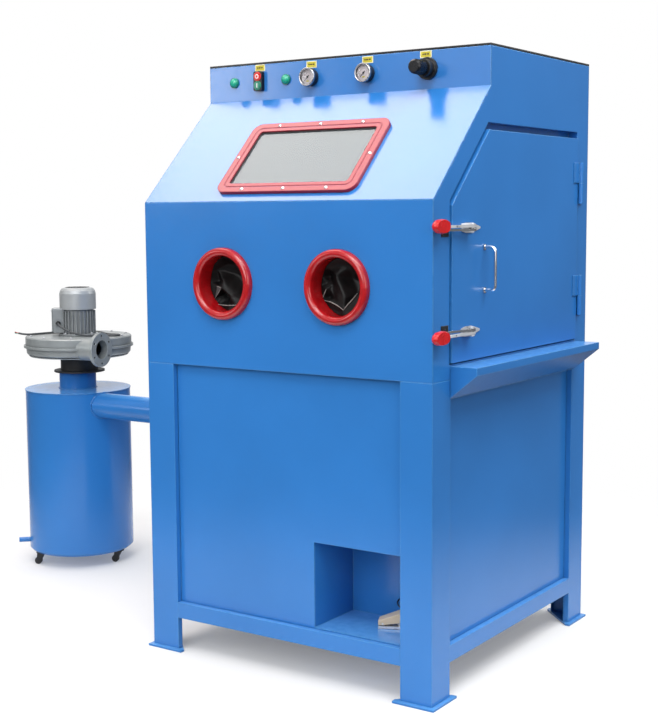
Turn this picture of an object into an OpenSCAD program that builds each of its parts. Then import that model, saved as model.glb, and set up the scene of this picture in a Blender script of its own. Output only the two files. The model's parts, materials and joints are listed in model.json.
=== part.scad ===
// Sandblast cabinet on a welded stand, with its drum dust collector.
// Origin: centre of the four foot anchor holes, at floor level.
// +Z up, the operator stands on the -Y side, the loading door is on +X.

/* [Cabinet] */
// Width of the cabinet
cab_w = 950; // [800:10:1200]
// Depth of the cabinet
cab_d = 950; // [850:10:1200]
// Overall height
cab_h = 1720; // [1650:10:1850]
// Height of the stand, up to the chamber floor
base_h = 850; // [800:10:880]
// Height of the front edge of the sloping face
front_z = 1310; // [1280:5:1360]
// Horizontal run of the sloping face
slope_run = 305; // [280:5:340]
// Vertical rise of the sloping face
slope_rise = 300; // [280:5:320]
// Sheet thickness of the shell
sheet = 3; // [2:0.5:4]

/* [Stand] */
// Flange width of the folded corner legs
leg_w = 95; // [80:5:110]
// Return lip of the legs and depth of the panel recess
leg_lip = 18; // [14:1:22]
// Length of the outer sides of the foot plates
foot_w = 125; // [115:5:140]
// Radius of the anchor holes
anchor_r = 7; // [5:0.5:8]
// Height of the underside of the lower rails
rail_z = 100; // [80:5:120]
// Height of the lower rails
rail_h = 46; // [40:1:60]

/* [Ports and window] */
// Distance between the glove ports
port_gap = 380; // [340:10:420]
// Height of the glove ports
port_z = 1085; // [1050:5:1100]
// Outer radius of the glove rings
ring_r = 100; // [95:1:105]
// Bore radius of the glove rings
ring_bore = 77; // [70:1:80]
// Width of the window frame
win_w = 460; // [440:2:500]
// Height of the window frame along the slope
win_h = 278; // [260:2:290]
// Width of the bar of the window frame along the sides
win_bar = 33; // [30:1:40]
// Width of the bar of the window frame along top and bottom
win_bar_h = 33; // [30:1:38]

/* [Side door] */
// Lower edge of the door
door_z0 = 893; // [890:1:900]
// Upper edge of the door
door_z1 = 1494; // [1450:2:1500]
// Distance of the front edge of the door behind the cabinet front
door_y0 = 90; // [88:1:100]
// Distance of the rear edge of the door behind the cabinet front
door_y1 = 868; // [840:2:870]
// Height of the centre of the upper latch
latch_hi = 1238; // [1200:2:1240]
// Height of the centre of the lower latch
latch_lo = 970; // [950:2:980]
// Projection of the loading ledge
ledge_w = 78; // [60:2:90]

/* [Controls] */
// Height of the row of controls
ctrl_z = 1665; // [1655:1:1672]
// Radius of the pressure gauges
gauge_r = 26; // [25:1:32]

/* [Dust collector] */
// Distance of the drum axis to the left of the cabinet centre
drum_x = 1382; // [1360:2:1450]
// Distance of the drum axis behind the cabinet centre
drum_y = 142; // [130:2:160]
// Radius of the drum
drum_r = 190; // [185:1:200]
// Height of the drum bottom
drum_z0 = 47; // [45:1:60]
// Height of the drum top
drum_z1 = 643; // [640:1:660]
// Radius of the duct
duct_r = 45; // [40:1:46]
// Radius of the blower housing
fan_r = 192; // [185:1:195]

/* [Hidden] */
$fn = 64;
hx = cab_w / 2;
hy = cab_d / 2;
gap = 0.2;                       // clearance between sheets that lie on each other
fit = 0.05;                      // radial running clearance
slope_a = atan2(slope_rise, slope_run);
slope_len = norm([slope_run, slope_rise]);
fascia_y = slope_run - hy;
fascia_z = front_z + slope_rise;
roof_t = 6;
wall_top = cab_h - roof_t - gap;
recess = leg_lip + 2;            // depth of the inner face of the lower panels
anchor_in = 38;                  // distance of an anchor hole from the leg's outer faces

// Niche for the foot valve
niche_x0 = 97;
niche_x1 = 370;
niche_z0 = 150;
niche_z1 = 388;
niche_back = -265;

// Positions of the controls along X
lamp_x = [-380, -190];
station_x = -285;
gauge_x = [-101, 89];
reg_x = 285;

// Duct and blower
duct_y = 87;
duct_z = 595;
fan_x = 5 - drum_x;
fan_y = drum_y + 5;
fan_z0 = 764;
fan_z1 = 837;
fan_turn = 8;                    // direction of the outlet, turned from +X
outlet_off = 120;                // offset of the outlet axis from the fan axis
outlet_len = 190;
outlet_z = 800.5;
outlet_bore = 34;
caster_a = [9, 129, 249];
caster_at = 162;
wheel_r = 13;
caster_trail = 12;

// Side door hinge axis and latch pivots
hinge_x = hx + 11;
hinge_y = door_y1 - hy + 8;
hinge_r = 7.5;
door_face = hx + 5;              // outer face of the door
pivot_x = hx + 22;
pivot_y = -310;
crank = 9;                       // distance from the lever pivot to the hook pivot
crank_a = 80;                    // direction of the crank, from +X
latch_pin = 2.5;
keeper_y = -420;

// ---- outlines -------------------------------------------------------------

// Points of an outline moved inwards by d; the outline runs anticlockwise.
function unit(v) = v / norm(v);
function inward(v) = [-v[1], v[0]];
function cross_at(p, u, q, v) = p + u * ((q - p) * inward(v)) / (u * inward(v));
function inset(pts, d) = inset_edges(pts, [for (p = pts) d]);

// The same, with a distance of its own for the edge that leaves each point
function inset_edges(pts, d) = [for (i = [0 : len(pts) - 1])
    let (n = len(pts), before = (i + n - 1) % n, b = pts[i],
         u = unit(b - pts[before]), v = unit(pts[(i + 1) % n] - b))
    cross_at(b + inward(u) * d[before], u, b + inward(v) * d[i], v)];

// Side view of the shell as [y, z], anticlockwise seen from +X
shell_side = [[-hy, base_h], [hy, base_h], [hy, cab_h], [fascia_y, cab_h],
    [fascia_y, fascia_z], [-hy, front_z]];

// Side view of the door as [y, z]
door_corner_z = 1296;
door_side = [[door_y0 - hy, door_z0], [door_y1 - hy, door_z0], [door_y1 - hy, door_z1],
    [door_y0 - hy + (door_z1 - door_corner_z) * slope_run / slope_rise, door_z1],
    [door_y0 - hy, door_corner_z]];

module rounded(w, h, r) {
    square([w - 2 * r, h], center = true);
    square([w, h - 2 * r], center = true);
    for (x = [-1, 1], y = [-1, 1])
        translate([x * (w / 2 - r), y * (h / 2 - r)]) circle(r);
}

// Extrudes an outline in [y, z] along +X, from x = from over a length of t
module along_x(from, t) {
    translate([from, 0, 0]) rotate([90, 0, 90]) linear_extrude(t) children();
}

// Extrudes an outline in [x, z] along -Y, from y = from over a length of t
module along_y(from, t) {
    translate([0, from, 0]) rotate([90, 0, 0]) linear_extrude(t) children();
}

module box(lo, hi) {
    translate(lo) cube(hi - lo);
}

// Local frame on the sloping face: X along the cabinet, Y up the slope, Z outwards
module on_slope(s) {
    translate([0, -hy, front_z]) rotate([slope_a, 0, 0]) translate([0, s, 0]) children();
}

// Local frame on the fascia: Y up, Z outwards
module on_fascia(x) {
    translate([x, fascia_y, ctrl_z]) rotate([90, 0, 0]) children();
}

// Local frame on the front face, Z outwards
module on_front(x, z) {
    translate([x, -hy, z]) rotate([90, 0, 0]) children();
}

module tube(r, bore, h) {
    difference() {
        cylinder(r = r, h = h);
        translate([0, 0, -1]) cylinder(r = bore, h = h + 2);
    }
}

module at_corners() {
    for (x = [0, 1], y = [0, 1]) mirror([x, 0, 0]) mirror([0, y, 0]) children();
}

// ---- stand ----------------------------------------------------------------

module leg_section() {
    square([leg_w, sheet]);
    square([sheet, leg_w]);
    translate([leg_w - sheet, 0]) square([sheet, leg_lip]);
    translate([0, leg_w - sheet]) square([leg_lip, sheet]);
}

// Four folded legs on drilled foot plates, the inner corner of each plate cut off
module corner_legs() {
    foot_t = 6;
    overhang = 12;
    far = foot_w - overhang;
    near = 3;
    at_corners() translate([-hx, -hy, 0]) {
        translate([0, 0, foot_t]) linear_extrude(base_h - foot_t) leg_section();
        difference() {
            linear_extrude(foot_t) polygon([[-overhang, -overhang], [far, -overhang], [far, near],
                [near, far], [-overhang, far]]);
            translate([anchor_in, anchor_in, -1]) cylinder(r = anchor_r, h = foot_t + 2);
        }
    }
}

// One rail along X, on the front: face, top ledge and bottom lip
module front_rail(length, bottom, height, ledge) {
    translate([0, -hy, bottom]) {
        translate([-length / 2, 0, 0]) cube([length, sheet, height]);
        if (ledge > 0) {
            translate([-length / 2, 0, height - sheet]) cube([length, ledge, sheet]);
            translate([-length / 2, 0, 0]) cube([length, leg_lip, sheet]);
        }
    }
}

// Lower rails on four sides, and headers under the side and rear panels
module base_rails() {
    length_x = cab_w - 2 * leg_w - 1;
    length_y = cab_d - 2 * leg_w - 1;
    header = 50;
    for (turn = [0, 180]) rotate([0, 0, turn])
        front_rail(length_x, rail_z, rail_h, recess);
    for (turn = [90, 270]) rotate([0, 0, turn]) translate([0, hy - hx, 0])
        front_rail(length_y, rail_z, rail_h, recess);
    rotate([0, 0, 180]) front_rail(length_x, base_h - header, header - gap, 0);
    for (turn = [90, 270]) rotate([0, 0, turn]) translate([0, hy - hx, 0])
        front_rail(length_y, base_h - header, header - gap, 0);
}

module base_frame() {
    color([0.26, 0.52, 0.83]) {
        corner_legs();
        base_rails();
    }
}

// Recessed panels between the legs; the front one is open at the niche
module lower_panels() {
    edge = leg_w + 1;
    lo = rail_z + rail_h + gap;
    hi = base_h - 1;
    color([0.26, 0.52, 0.83]) {
        difference() {
            box([edge - hx, leg_lip - hy - 1, lo], [hx - edge, recess - hy, hi]);
            box([niche_x0, -hy, niche_z0], [niche_x1, 0, niche_z1]);
        }
        box([edge - hx, hy - recess, lo], [hx - edge, hy - leg_lip + 1, hi]);
        box([hx - recess, edge - hy, lo], [hx - leg_lip + 1, hy - edge, hi]);
        difference() {
            box([leg_lip - hx - 1, edge - hy, lo], [recess - hx, hy - edge, hi]);
            translate([-hx, duct_y, duct_z]) rotate([0, 90, 0])
                cylinder(r = duct_r + 0.5, h = 100, center = true);
        }
    }
}

// ---- shell ----------------------------------------------------------------

module front_upper_panel() {
    color([0.26, 0.52, 0.83])
    difference() {
        box([-hx, -hy, base_h], [hx, sheet - hy, front_z - gap]);
        for (x = [-port_gap / 2, port_gap / 2])
            on_front(x, port_z) cylinder(r = ring_bore + 11, h = 20, center = true);
    }
}

// Window opening and control holes in one folded sheet
module slope_fascia_panel() {
    outer = [[-hy, front_z], [fascia_y, fascia_z], [fascia_y, wall_top]];
    inner = [[fascia_y + sheet, wall_top],
        [fascia_y + sheet, fascia_z + sheet * (slope_rise / slope_run - slope_len / slope_run)],
        [sheet * slope_len / slope_rise - hy, front_z]];
    color([0.62, 0.78, 0.95])
    difference() {
        along_x(-hx, cab_w) polygon(concat(outer, inner));
        on_slope(win_s) translate([0, 0, -10]) linear_extrude(20)
            rounded(win_w - 2 * win_bar - 8, win_h - 2 * win_bar_h - 8, 10);
        for (x = lamp_x) on_fascia(x) cylinder(r = 11, h = 20, center = true);
        on_fascia(station_x) cylinder(r = 11, h = 20, center = true);
        for (x = gauge_x) on_fascia(x) cylinder(r = 8, h = 20, center = true);
        on_fascia(reg_x) cylinder(r = 15.5, h = 20, center = true);
    }
}

module roof_panel() {
    color([0.08, 0.09, 0.11])
    box([-hx, fascia_y, cab_h - roof_t], [hx, hy, cab_h]);
}

// Outline of a side panel, inside the front, slope, fascia, roof and rear sheets
module side_outline() {
    d = sheet + gap;
    p = inset(shell_side, d);
    polygon([[p[0][0], base_h], [p[1][0], base_h], [p[2][0], wall_top - gap],
        [p[3][0], wall_top - gap], p[4], p[5]]);
}

module left_side_panel() {
    color([0.2, 0.44, 0.76])
    along_x(-hx, sheet) side_outline();
}

// Side panel with the door opening, its jamb and the stop behind the door
module right_side_panel() {
    jamb = 28;
    opening = inset_edges(door_side, [-4, -4, -19, -12, -4]);
    color([0.2, 0.44, 0.76]) {
        along_x(hx - sheet, sheet) difference() {
            side_outline();
            polygon(opening);
        }
        along_x(hx - sheet - jamb, jamb) difference() {
            polygon(inset(opening, -2));
            polygon(opening);
        }
        along_x(hx - sheet - jamb - 2, 2) difference() {
            polygon(inset(opening, -2));
            polygon(inset(door_side, 18));
        }
    }
}

module rear_panel() {
    color([0.26, 0.52, 0.83])
    difference() {
        box([-hx, hy - sheet, base_h], [hx, hy, wall_top]);
        translate([reg_x, hy, ctrl_z - 200]) rotate([90, 0, 0])
            cylinder(r = 10.2, h = 20, center = true);
    }
}

// ---- inside ---------------------------------------------------------------

// Pyramid funnel under the grate, open at the top, with a square outlet
module hopper() {
    top = base_h - 1;
    foot = 420;
    half_top = hx - recess - 3;
    half_foot = 90;
    wall = 3;
    module square_slice(half, z) {
        translate([0, 0, z]) cube([2 * half, 2 * half, 0.1], center = true);
    }
    module frustum(grow, lift) {
        hull() {
            square_slice(half_top - grow, top + lift);
            square_slice(half_foot - grow, foot);
        }
    }
    color([0.35, 0.4, 0.45])
    difference() {
        union() {
            frustum(0, 0);
            translate([-half_foot, -half_foot, foot - 40]) cube([2 * half_foot, 2 * half_foot, 40]);
        }
        frustum(wall, 1);
        translate([wall - half_foot, wall - half_foot, foot - 50])
            cube([2 * (half_foot - wall), 2 * (half_foot - wall), 70]);
        translate([-300, duct_y, duct_z]) rotate([0, 90, 0])
            cylinder(r = duct_r + 0.5, h = 300, center = true);
    }
}

// Square grid that carries the work, on a raised edge round the hopper
module work_grate() {
    cells = 9;
    half = hx - recess - 5;
    bar = 22;
    pitch = (2 * half - bar) / cells;
    color([0.3, 0.32, 0.34])
    translate([0, 0, base_h]) linear_extrude(8) difference() {
        square(2 * half, center = true);
        for (i = [0 : cells - 1], j = [0 : cells - 1])
            translate([bar + i * pitch - half, bar + j * pitch - half]) square(pitch - bar);
    }
}

// Suction gun lying on the grate: body, grip, nozzle and hose tail
module blast_gun() {
    body_r = 16;
    color([0.25, 0.26, 0.28])
    translate([-60, -60, base_h + 8 + body_r]) rotate([90, 0, 30]) {
        difference() {
            union() {
                cylinder(r = body_r, h = 110);
                translate([0, 0, 110]) cylinder(r = 11, h = 45);
                translate([0, 0, -30]) cylinder(r = 9, h = 30);
                translate([0, -9, 12]) cube([95, 18, 30]);
            }
            translate([0, 0, 60]) cylinder(r = 4, h = 100);
        }
    }
}

// Sealed lamp tube under the roof on two brackets
module work_lamp() {
    lamp_len = 420;
    lamp_top = cab_h - roof_t - 14;
    color([0.9, 0.9, 0.86]) {
        translate([-lamp_len / 2, 100, lamp_top - 25]) rotate([0, 90, 0]) cylinder(r = 24, h = lamp_len);
        for (x = [-150, 150])
            translate([x - 12, 92, lamp_top - 10]) cube([24, 16, 24]);
    }
}

// ---- window and ports -----------------------------------------------------

win_s = slope_len / 2 - 46;
pane_t = 4;
seal_t = 2;
frame_t = 10;

module pane_outline(grow) {
    rounded(win_w - 2 * win_bar + grow, win_h - 2 * win_bar_h + grow, 10 + grow / 2);
}

module window_frame() {
    groove = 18;
    color([0.78, 0.08, 0.08])
    on_slope(win_s) difference() {
        translate([0, 0, gap]) linear_extrude(frame_t) difference() {
            rounded(win_w, win_h, 30);
            pane_outline(0);
        }
        translate([0, 0, frame_t + gap - 1]) linear_extrude(2) difference() {
            rounded(win_w - 2 * groove, win_h - 2 * groove, 20);
            rounded(win_w - 2 * groove - 6, win_h - 2 * groove - 6, 17);
        }
        translate([0, 0, -1]) linear_extrude(1 + pane_t + seal_t + 2 * gap) pane_outline(20);
    }
}

module window_glass() {
    color([0.55, 0.6, 0.62, 0.6])
    on_slope(win_s) translate([0, 0, gap]) linear_extrude(pane_t) pane_outline(19);
}

module window_seal() {
    color([0.05, 0.05, 0.05])
    on_slope(win_s) translate([0, 0, gap + pane_t]) linear_extrude(seal_t) difference() {
        pane_outline(19);
        pane_outline(-8);
    }
}

// Eight pan-head screws in the window frame
module window_screws() {
    rows = win_h / 2 - 11;
    color([0.85, 0.86, 0.88])
    on_slope(win_s) translate([0, 0, gap + frame_t]) {
        for (x = [-140, 0, 140], y = [-rows, rows]) translate([x, y, 0]) pan_head();
        for (x = [11 - win_w / 2, win_w / 2 - 11]) translate([x, 0, 0]) pan_head();
    }
}

module pan_head() {
    rotate_extrude() intersection() {
        translate([0, -7]) circle(9.5);
        square([5.5, 4]);
    }
}

module glove_rings() {
    flange = (ring_r - ring_bore) / 2;
    color([0.78, 0.08, 0.08])
    for (x = [-port_gap / 2, port_gap / 2]) on_front(x, port_z) rotate_extrude($fn = 96) {
        intersection() {
            translate([ring_bore + flange, 8.5]) circle(flange);
            translate([0, gap]) square([ring_r, 30]);
        }
        translate([ring_bore, gap]) square([2 * flange, 8]);
        translate([ring_bore + 2, -60]) square([6, 62]);
    }
}

// Plain hollow gauntlets, clamped over the ring spigots and closed at the hand
module gloves() {
    color([0.07, 0.07, 0.08])
    for (x = [-port_gap / 2, port_gap / 2]) on_front(x, port_z) rotate_extrude()
        difference() {
            glove_side(0);
            glove_side(3);
        }
}

// Half profile of a gauntlet, moved inwards by t
module glove_side(t) {
    mouth = ring_bore + 11.2 - t;
    wrist = 52 - t;
    rim = -10 + t;
    polygon([[0, t - 400], [38 - t, t - 385], [wrist, -330], [wrist, -240],
        [mouth, -120], [mouth, rim], [0, rim]]);
}

// ---- controls -------------------------------------------------------------

button_r = 10;
button_at = 13;
button_travel = 3;

// Double push-button body with two wells
module button_station() {
    depth = 14;
    color([0.06, 0.06, 0.07])
    on_fascia(station_x) difference() {
        union() {
            translate([0, 0, gap]) linear_extrude(depth) rounded(30, 57, 5);
            translate([0, 0, -30]) cylinder(r = 10.5, h = 31);
        }
        for (y = [-button_at, button_at]) translate([0, y, 1.5])
            cylinder(r = button_r + fit, h = depth);
    }
}

module button_cap(y) {
    on_fascia(station_x) translate([0, y, 5]) cylinder(r = button_r, h = 12.5);
}

module stop_button() {
    color([0.8, 0.08, 0.06]) button_cap(button_at);
}

module start_button() {
    color([0.05, 0.5, 0.25]) button_cap(-button_at);
}

module pilot_lamps() {
    color([0.05, 0.5, 0.25])
    for (x = lamp_x) on_fascia(x) {
        translate([0, 0, gap]) cylinder(r = 15, h = 4);
        translate([0, 0, -30]) cylinder(r = 10.5, h = 31);
        rotate_extrude() intersection() {
            translate([0, -2]) circle(15.5);
            translate([0, 3]) square([11.5, 12]);
        }
    }
}

gauge_depth = 26;
dial_z = 19;
needle_pin = 0.8;

// Case, bezel, dial floor and needle pin of both gauges
module gauge_cases() {
    color([0.75, 0.76, 0.78])
    for (x = gauge_x) on_fascia(x) {
        difference() {
            rotate_extrude() polygon([[0, gap], [gauge_r - 3, gap], [gauge_r - 2, dial_z - 2],
                [gauge_r, dial_z], [gauge_r, gauge_depth - 1.5], [gauge_r - 1.5, gauge_depth],
                [0, gauge_depth]]);
            translate([0, 0, dial_z]) cylinder(r = gauge_r - 4, h = 10);
        }
        translate([0, 0, -25]) cylinder(r = 7, h = 26);
        cylinder(r = needle_pin, h = dial_z + 2.6);
    }
}

// Needle resting at the zero mark, down and to the left
module gauge_needle(x) {
    reach = 17;
    tail = 7;
    color([0.05, 0.05, 0.05])
    on_fascia(x) translate([0, 0, dial_z + 0.6]) difference() {
        union() {
            cylinder(r = 3, h = 1.4);
            rotate([0, 0, 225]) linear_extrude(0.8)
                polygon([[-tail, -1.2], [reach, -0.35], [reach, 0.35], [-tail, 1.2]]);
        }
        translate([0, 0, -1]) cylinder(r = needle_pin + fit, h = 4);
    }
}

module left_gauge_needle() {
    gauge_needle(gauge_x[0]);
}

module right_gauge_needle() {
    gauge_needle(gauge_x[1]);
}

stem_r = 5;
knob_z = 32;
knob_h = 46;

// Regulator body behind and in front of the fascia, with the stem of its knob
module regulator_body() {
    color([0.07, 0.07, 0.08])
    on_fascia(reg_x) {
        translate([0, 0, gap]) cylinder(r = 30, h = 8);
        translate([0, 0, 8]) cylinder(r = 24, h = 22);
        translate([0, 0, -70]) cylinder(r = 15, h = 80);
        translate([-22, -22, -90]) cube([44, 44, 60]);
        cylinder(r = stem_r, h = knob_z + 30);
    }
}

// Ribbed knob on the stem
module regulator_knob() {
    ribs = 24;
    color([0.07, 0.07, 0.08])
    on_fascia(reg_x) translate([0, 0, knob_z]) difference() {
        union() {
            rotate_extrude() polygon([[0, 0], [19, 0], [19, knob_h - 4], [15, knob_h], [0, knob_h]]);
            for (i = [0 : ribs - 1]) rotate([0, 0, i * 360 / ribs])
                translate([18, -1.2, 3]) cube([2, 2.4, knob_h - 10]);
        }
        translate([0, 0, -1]) cylinder(r = stem_r + fit, h = 33);
    }
}

// ---- side door ------------------------------------------------------------

door_pan_t = 2;
door_pan_d = 25;

// Folded pan: face sheet and a return all round
module side_door() {
    color([0.2, 0.44, 0.76]) {
        along_x(door_face - door_pan_t, door_pan_t) polygon(door_side);
        along_x(door_face - door_pan_d, door_pan_d - door_pan_t) difference() {
            polygon(door_side);
            polygon(inset(door_side, 2));
        }
        along_x(door_face - door_pan_d, 2) difference() {
            polygon(door_side);
            polygon(inset(door_side, 20));
        }
    }
}

// Rubber strip on the back of the door, just touching the stop
module door_seal() {
    face = hx - sheet - 28 + 0.3;
    color([0.06, 0.06, 0.06])
    along_x(face, door_face - door_pan_d - face) difference() {
        polygon(inset(door_side, 4));
        polygon(inset(door_side, 16));
    }
}

handle_y = 265 - cab_d / 2;
handle_z = [1072, 1186];

// Vertical D bar with two round feet
module door_handle() {
    bar = 4.5;
    bend = 13;
    out = 32;
    from = door_face + gap;
    color([0.85, 0.86, 0.88]) {
        for (z = handle_z) translate([from, handle_y, z]) rotate([0, 90, 0]) {
            cylinder(r = 8, h = 3);
            cylinder(r = bar, h = out - bend);
        }
        translate([from + out, handle_y, handle_z[0] + bend])
            cylinder(r = bar, h = handle_z[1] - handle_z[0] - 2 * bend);
        for (side = [0, 1]) translate([from + out - bend, handle_y, handle_z[side]])
            mirror([0, 0, side]) translate([0, 0, bend]) rotate([90, 90, 0])
                rotate_extrude(angle = 90) translate([bend, 0]) circle(bar);
    }
}

// Each hinge as [bottom, split, top]
hinges = [[965, 1024, 1086], [1300, 1362, 1422]];
hinge_pin = 4;
hinge_play = 0.5;

// Lower knuckles with their pins, welded to the panel behind the door
module frame_hinge_halves() {
    color([0.24, 0.5, 0.82])
    for (h = hinges) {
        translate([hinge_x, hinge_y, h[0]]) cylinder(r = hinge_r, h = h[1] - h[0]);
        translate([hinge_x, hinge_y, h[0]]) cylinder(r = hinge_pin, h = h[2] - h[0] - 8);
        box([hx + gap, hinge_y, h[0]], [hx + 5, hinge_y + 30, h[1]]);
    }
}

// Upper knuckles on leaves welded to the door
module door_hinge_halves() {
    color([0.24, 0.5, 0.82])
    for (h = hinges) difference() {
        union() {
            translate([hinge_x, hinge_y, h[1] + hinge_play]) cylinder(r = hinge_r, h = h[2] - h[1]);
            box([door_face + gap, hinge_y - 40, h[1] + hinge_play],
                [door_face + 3.2, hinge_y, h[2] + hinge_play]);
        }
        translate([hinge_x, hinge_y, h[1] - 1]) cylinder(r = hinge_pin + fit, h = h[2] - h[1] - 6);
    }
}

// Box ledge under the door: top, outer lip, sloping underside and end gussets
module loading_ledge() {
    top = 885;
    lip = 20;
    low = 802;
    y0 = door_y0 - hy;
    y1 = door_y1 - hy + 7;
    outer = [[hx + gap, low], [hx + ledge_w, top - lip], [hx + ledge_w, top], [hx + gap, top]];
    color([0.24, 0.5, 0.82]) {
        translate([0, y1, 0]) rotate([90, 0, 0]) linear_extrude(y1 - y0) difference() {
            polygon(outer);
            polygon([[hx + gap - 1, low + 5], [hx + ledge_w - 3, top - lip + 2],
                [hx + ledge_w - 3, top - 3], [hx + gap - 1, top - 3]]);
        }
        for (y = [y0 + 3, y1]) translate([0, y, 0]) rotate([90, 0, 0]) linear_extrude(3)
            polygon(outer);
    }
}

// ---- latches --------------------------------------------------------------

// Latches as [height, side]: side 1 has its hook below the lever, -1 above
latches = [[latch_hi, 1], [latch_lo, -1]];
crank_pos = crank * [cos(crank_a), sin(crank_a)];

// Local frame of a latch: origin on the lever pivot, Z towards the lever side
module at_latch(i) {
    translate([pivot_x, pivot_y, latches[i][0]]) mirror([0, 0, latches[i][1] < 0 ? 1 : 0]) children();
}

// Plate on the door, the upright ear and the pivot pin of each latch
module latch_bases() {
    floor_x = door_face + gap - pivot_x;
    color([0.8, 0.81, 0.83])
    for (i = [0, 1]) at_latch(i) {
        difference() {
            along_x(floor_x, 2.5)
                polygon([[-30, -8], [-8, -13], [26, -13], [72, -2.5], [72, 2.5], [26, 13], [-8, 13],
                    [-30, 8]]);
            for (y = [14, 38]) translate([floor_x, y, 0]) rotate([0, 90, 0])
                cylinder(r = 2.2, h = 10, center = true);
        }
        translate([0, 0, 8]) linear_extrude(3) {
            circle(8);
            polygon([[floor_x, -28], [0, -8], [6, -5], [0, 8], [floor_x, 24]]);
        }
        translate([0, 0, 0.5]) cylinder(r = latch_pin, h = 9);
    }
}

// Lever plate with its hook pin; the red grip is a piece of its own
module latch_lever(i) {
    arm_end = -174;
    color([0.8, 0.81, 0.83])
    at_latch(i) {
        difference() {
            translate([0, 0, 0.5]) linear_extrude(7) {
                circle(7);
                translate(crank_pos) circle(4.5);
                polygon([[-4, 0], crank_pos + [-4.4, 0], crank_pos + [4.4, 0], [4, 0]]);
                polygon([[-7, 0], [-4.5, -30], [-4.5, arm_end], [1.5, arm_end], [1.5, -30], [7, 0]]);
            }
            cylinder(r = latch_pin + fit, h = 30, center = true);
            translate([0, -84, 4]) rotate([0, 90, 0]) cylinder(r = 2.5, h = 30, center = true);
        }
        translate([crank_pos[0], crank_pos[1], -8.4]) cylinder(r = latch_pin, h = 9.5);
    }
}

// Oval grip over the end of the lever
module latch_grip(i) {
    grip_y0 = -126;
    grip_len = 70;
    color([0.8, 0.06, 0.06])
    at_latch(i) translate([-1.5, grip_y0, 5]) rotate([90, 0, 0]) difference() {
        intersection() {
            rotate_extrude() polygon([[0, 0], [9, 0], [14, 6], [17.5, 18], [18.5, 33],
                [16.5, 50], [12, 61], [6, 68], [0, grip_len]]);
            cube([17, 40, 200], center = true);
        }
        translate([-3, -4.5, -1]) cube([6, 7, 53]);
    }
}

// Draw hook on the hook pin, its tip behind the keeper
module latch_hook(i) {
    tip = keeper_y - pivot_y;
    tip_x = hx + 7 - pivot_x;
    leg_x = hx + 2.6 - pivot_x;
    color([0.82, 0.83, 0.85])
    at_latch(i) translate([0, 0, -8]) difference() {
        linear_extrude(6) {
            translate(crank_pos) circle(5);
            polygon([crank_pos + [-4, 0], [-1, -25], [tip_x, tip + 30], [tip_x, tip - 1.2],
                [leg_x, tip - 1.2], [leg_x, tip - 6], [tip_x + 4, tip - 6], [tip_x + 5, tip + 28],
                [4, -25], crank_pos + [4, 0]]);
        }
        translate([crank_pos[0], crank_pos[1], -1]) cylinder(r = latch_pin + fit, h = 9);
    }
}

// Low posts on the stile that the hooks pull against
module latch_keepers() {
    color([0.12, 0.12, 0.13])
    for (i = [0, 1]) at_latch(i) {
        x0 = hx + gap - pivot_x;
        y0 = keeper_y - pivot_y;
        difference() {
            box([x0, y0 - 14, -22], [x0 + 2, y0 + 22, 2]);
            translate([x0, y0 + 16, -17]) rotate([0, 90, 0]) cylinder(r = 2.1, h = 10, center = true);
        }
        box([x0, y0, -13], [x0 + 6, y0 + 5, 0]);
    }
}

module upper_latch_lever() { latch_lever(0); }
module lower_latch_lever() { latch_lever(1); }
module upper_latch_grip() { latch_grip(0); }
module lower_latch_grip() { latch_grip(1); }
module upper_latch_hook() { latch_hook(0); }
module lower_latch_hook() { latch_hook(1); }

// ---- foot valve -----------------------------------------------------------

pedal_at = [250, -375, niche_z0 + 0.5];
pedal_turn = 25;
pedal_len = 110;
pedal_toe = 36;
pedal_heel = 60;
pedal_axle = [12, 14];           // axle of the treadle, as [along, up]

module at_pedal() {
    translate(pedal_at) rotate([0, 0, pedal_turn]) children();
}

// Plan of the valve, moved inwards by d
module pedal_plan(d, length) {
    wide = pedal_toe + (pedal_heel - pedal_toe) * length / pedal_len;
    polygon([[d, d], [length - d, d], [length - d, wide - d], [d, pedal_toe - d]]);
}

// Open box behind the opening of the front panel, with the elbow of the air line
module pedal_niche() {
    front = sheet + leg_lip - 1 - hy + gap;
    wall = 2;
    color([0.24, 0.5, 0.82]) {
        difference() {
            box([niche_x0 - wall, front, niche_z0 - wall],
                [niche_x1 + wall, niche_back + wall, niche_z1 + wall]);
            box([niche_x0, front - 1, niche_z0], [niche_x1, niche_back, niche_z1]);
        }
    }
    color([0.1, 0.1, 0.1]) difference() {
        box([298, niche_back - 14, 175], [314, niche_back - gap, 189]);
        translate([290, niche_back - 8, 182]) rotate([0, 90, 0]) cylinder(r = line_r + fit, h = 16);
    }
}

// Base plate, axle ears, axle, valve block and hose tail
module pedal_base() {
    ear = 3;
    color([0.72, 0.68, 0.6])
    at_pedal() {
        linear_extrude(7) pedal_plan(0, pedal_len);
        difference() {
            translate([pedal_len - 12, 34, 0]) cube([20, 22, 9.5]);
            translate([pedal_len + 2, 45, 5]) rotate([0, 90, 0]) cylinder(r = line_r + fit, h = 10);
        }
        for (y = [5, 28]) translate([pedal_axle[0] - 6, y, 6]) cube([12, ear, pedal_axle[1] - 1]);
        translate([pedal_axle[0], 0.3, pedal_axle[1]]) rotate([-90, 0, 0]) cylinder(r = 2.5, h = 37.8);
        translate([52, 12, 6]) cube([34, 26, 12]);
    }
}

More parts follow.
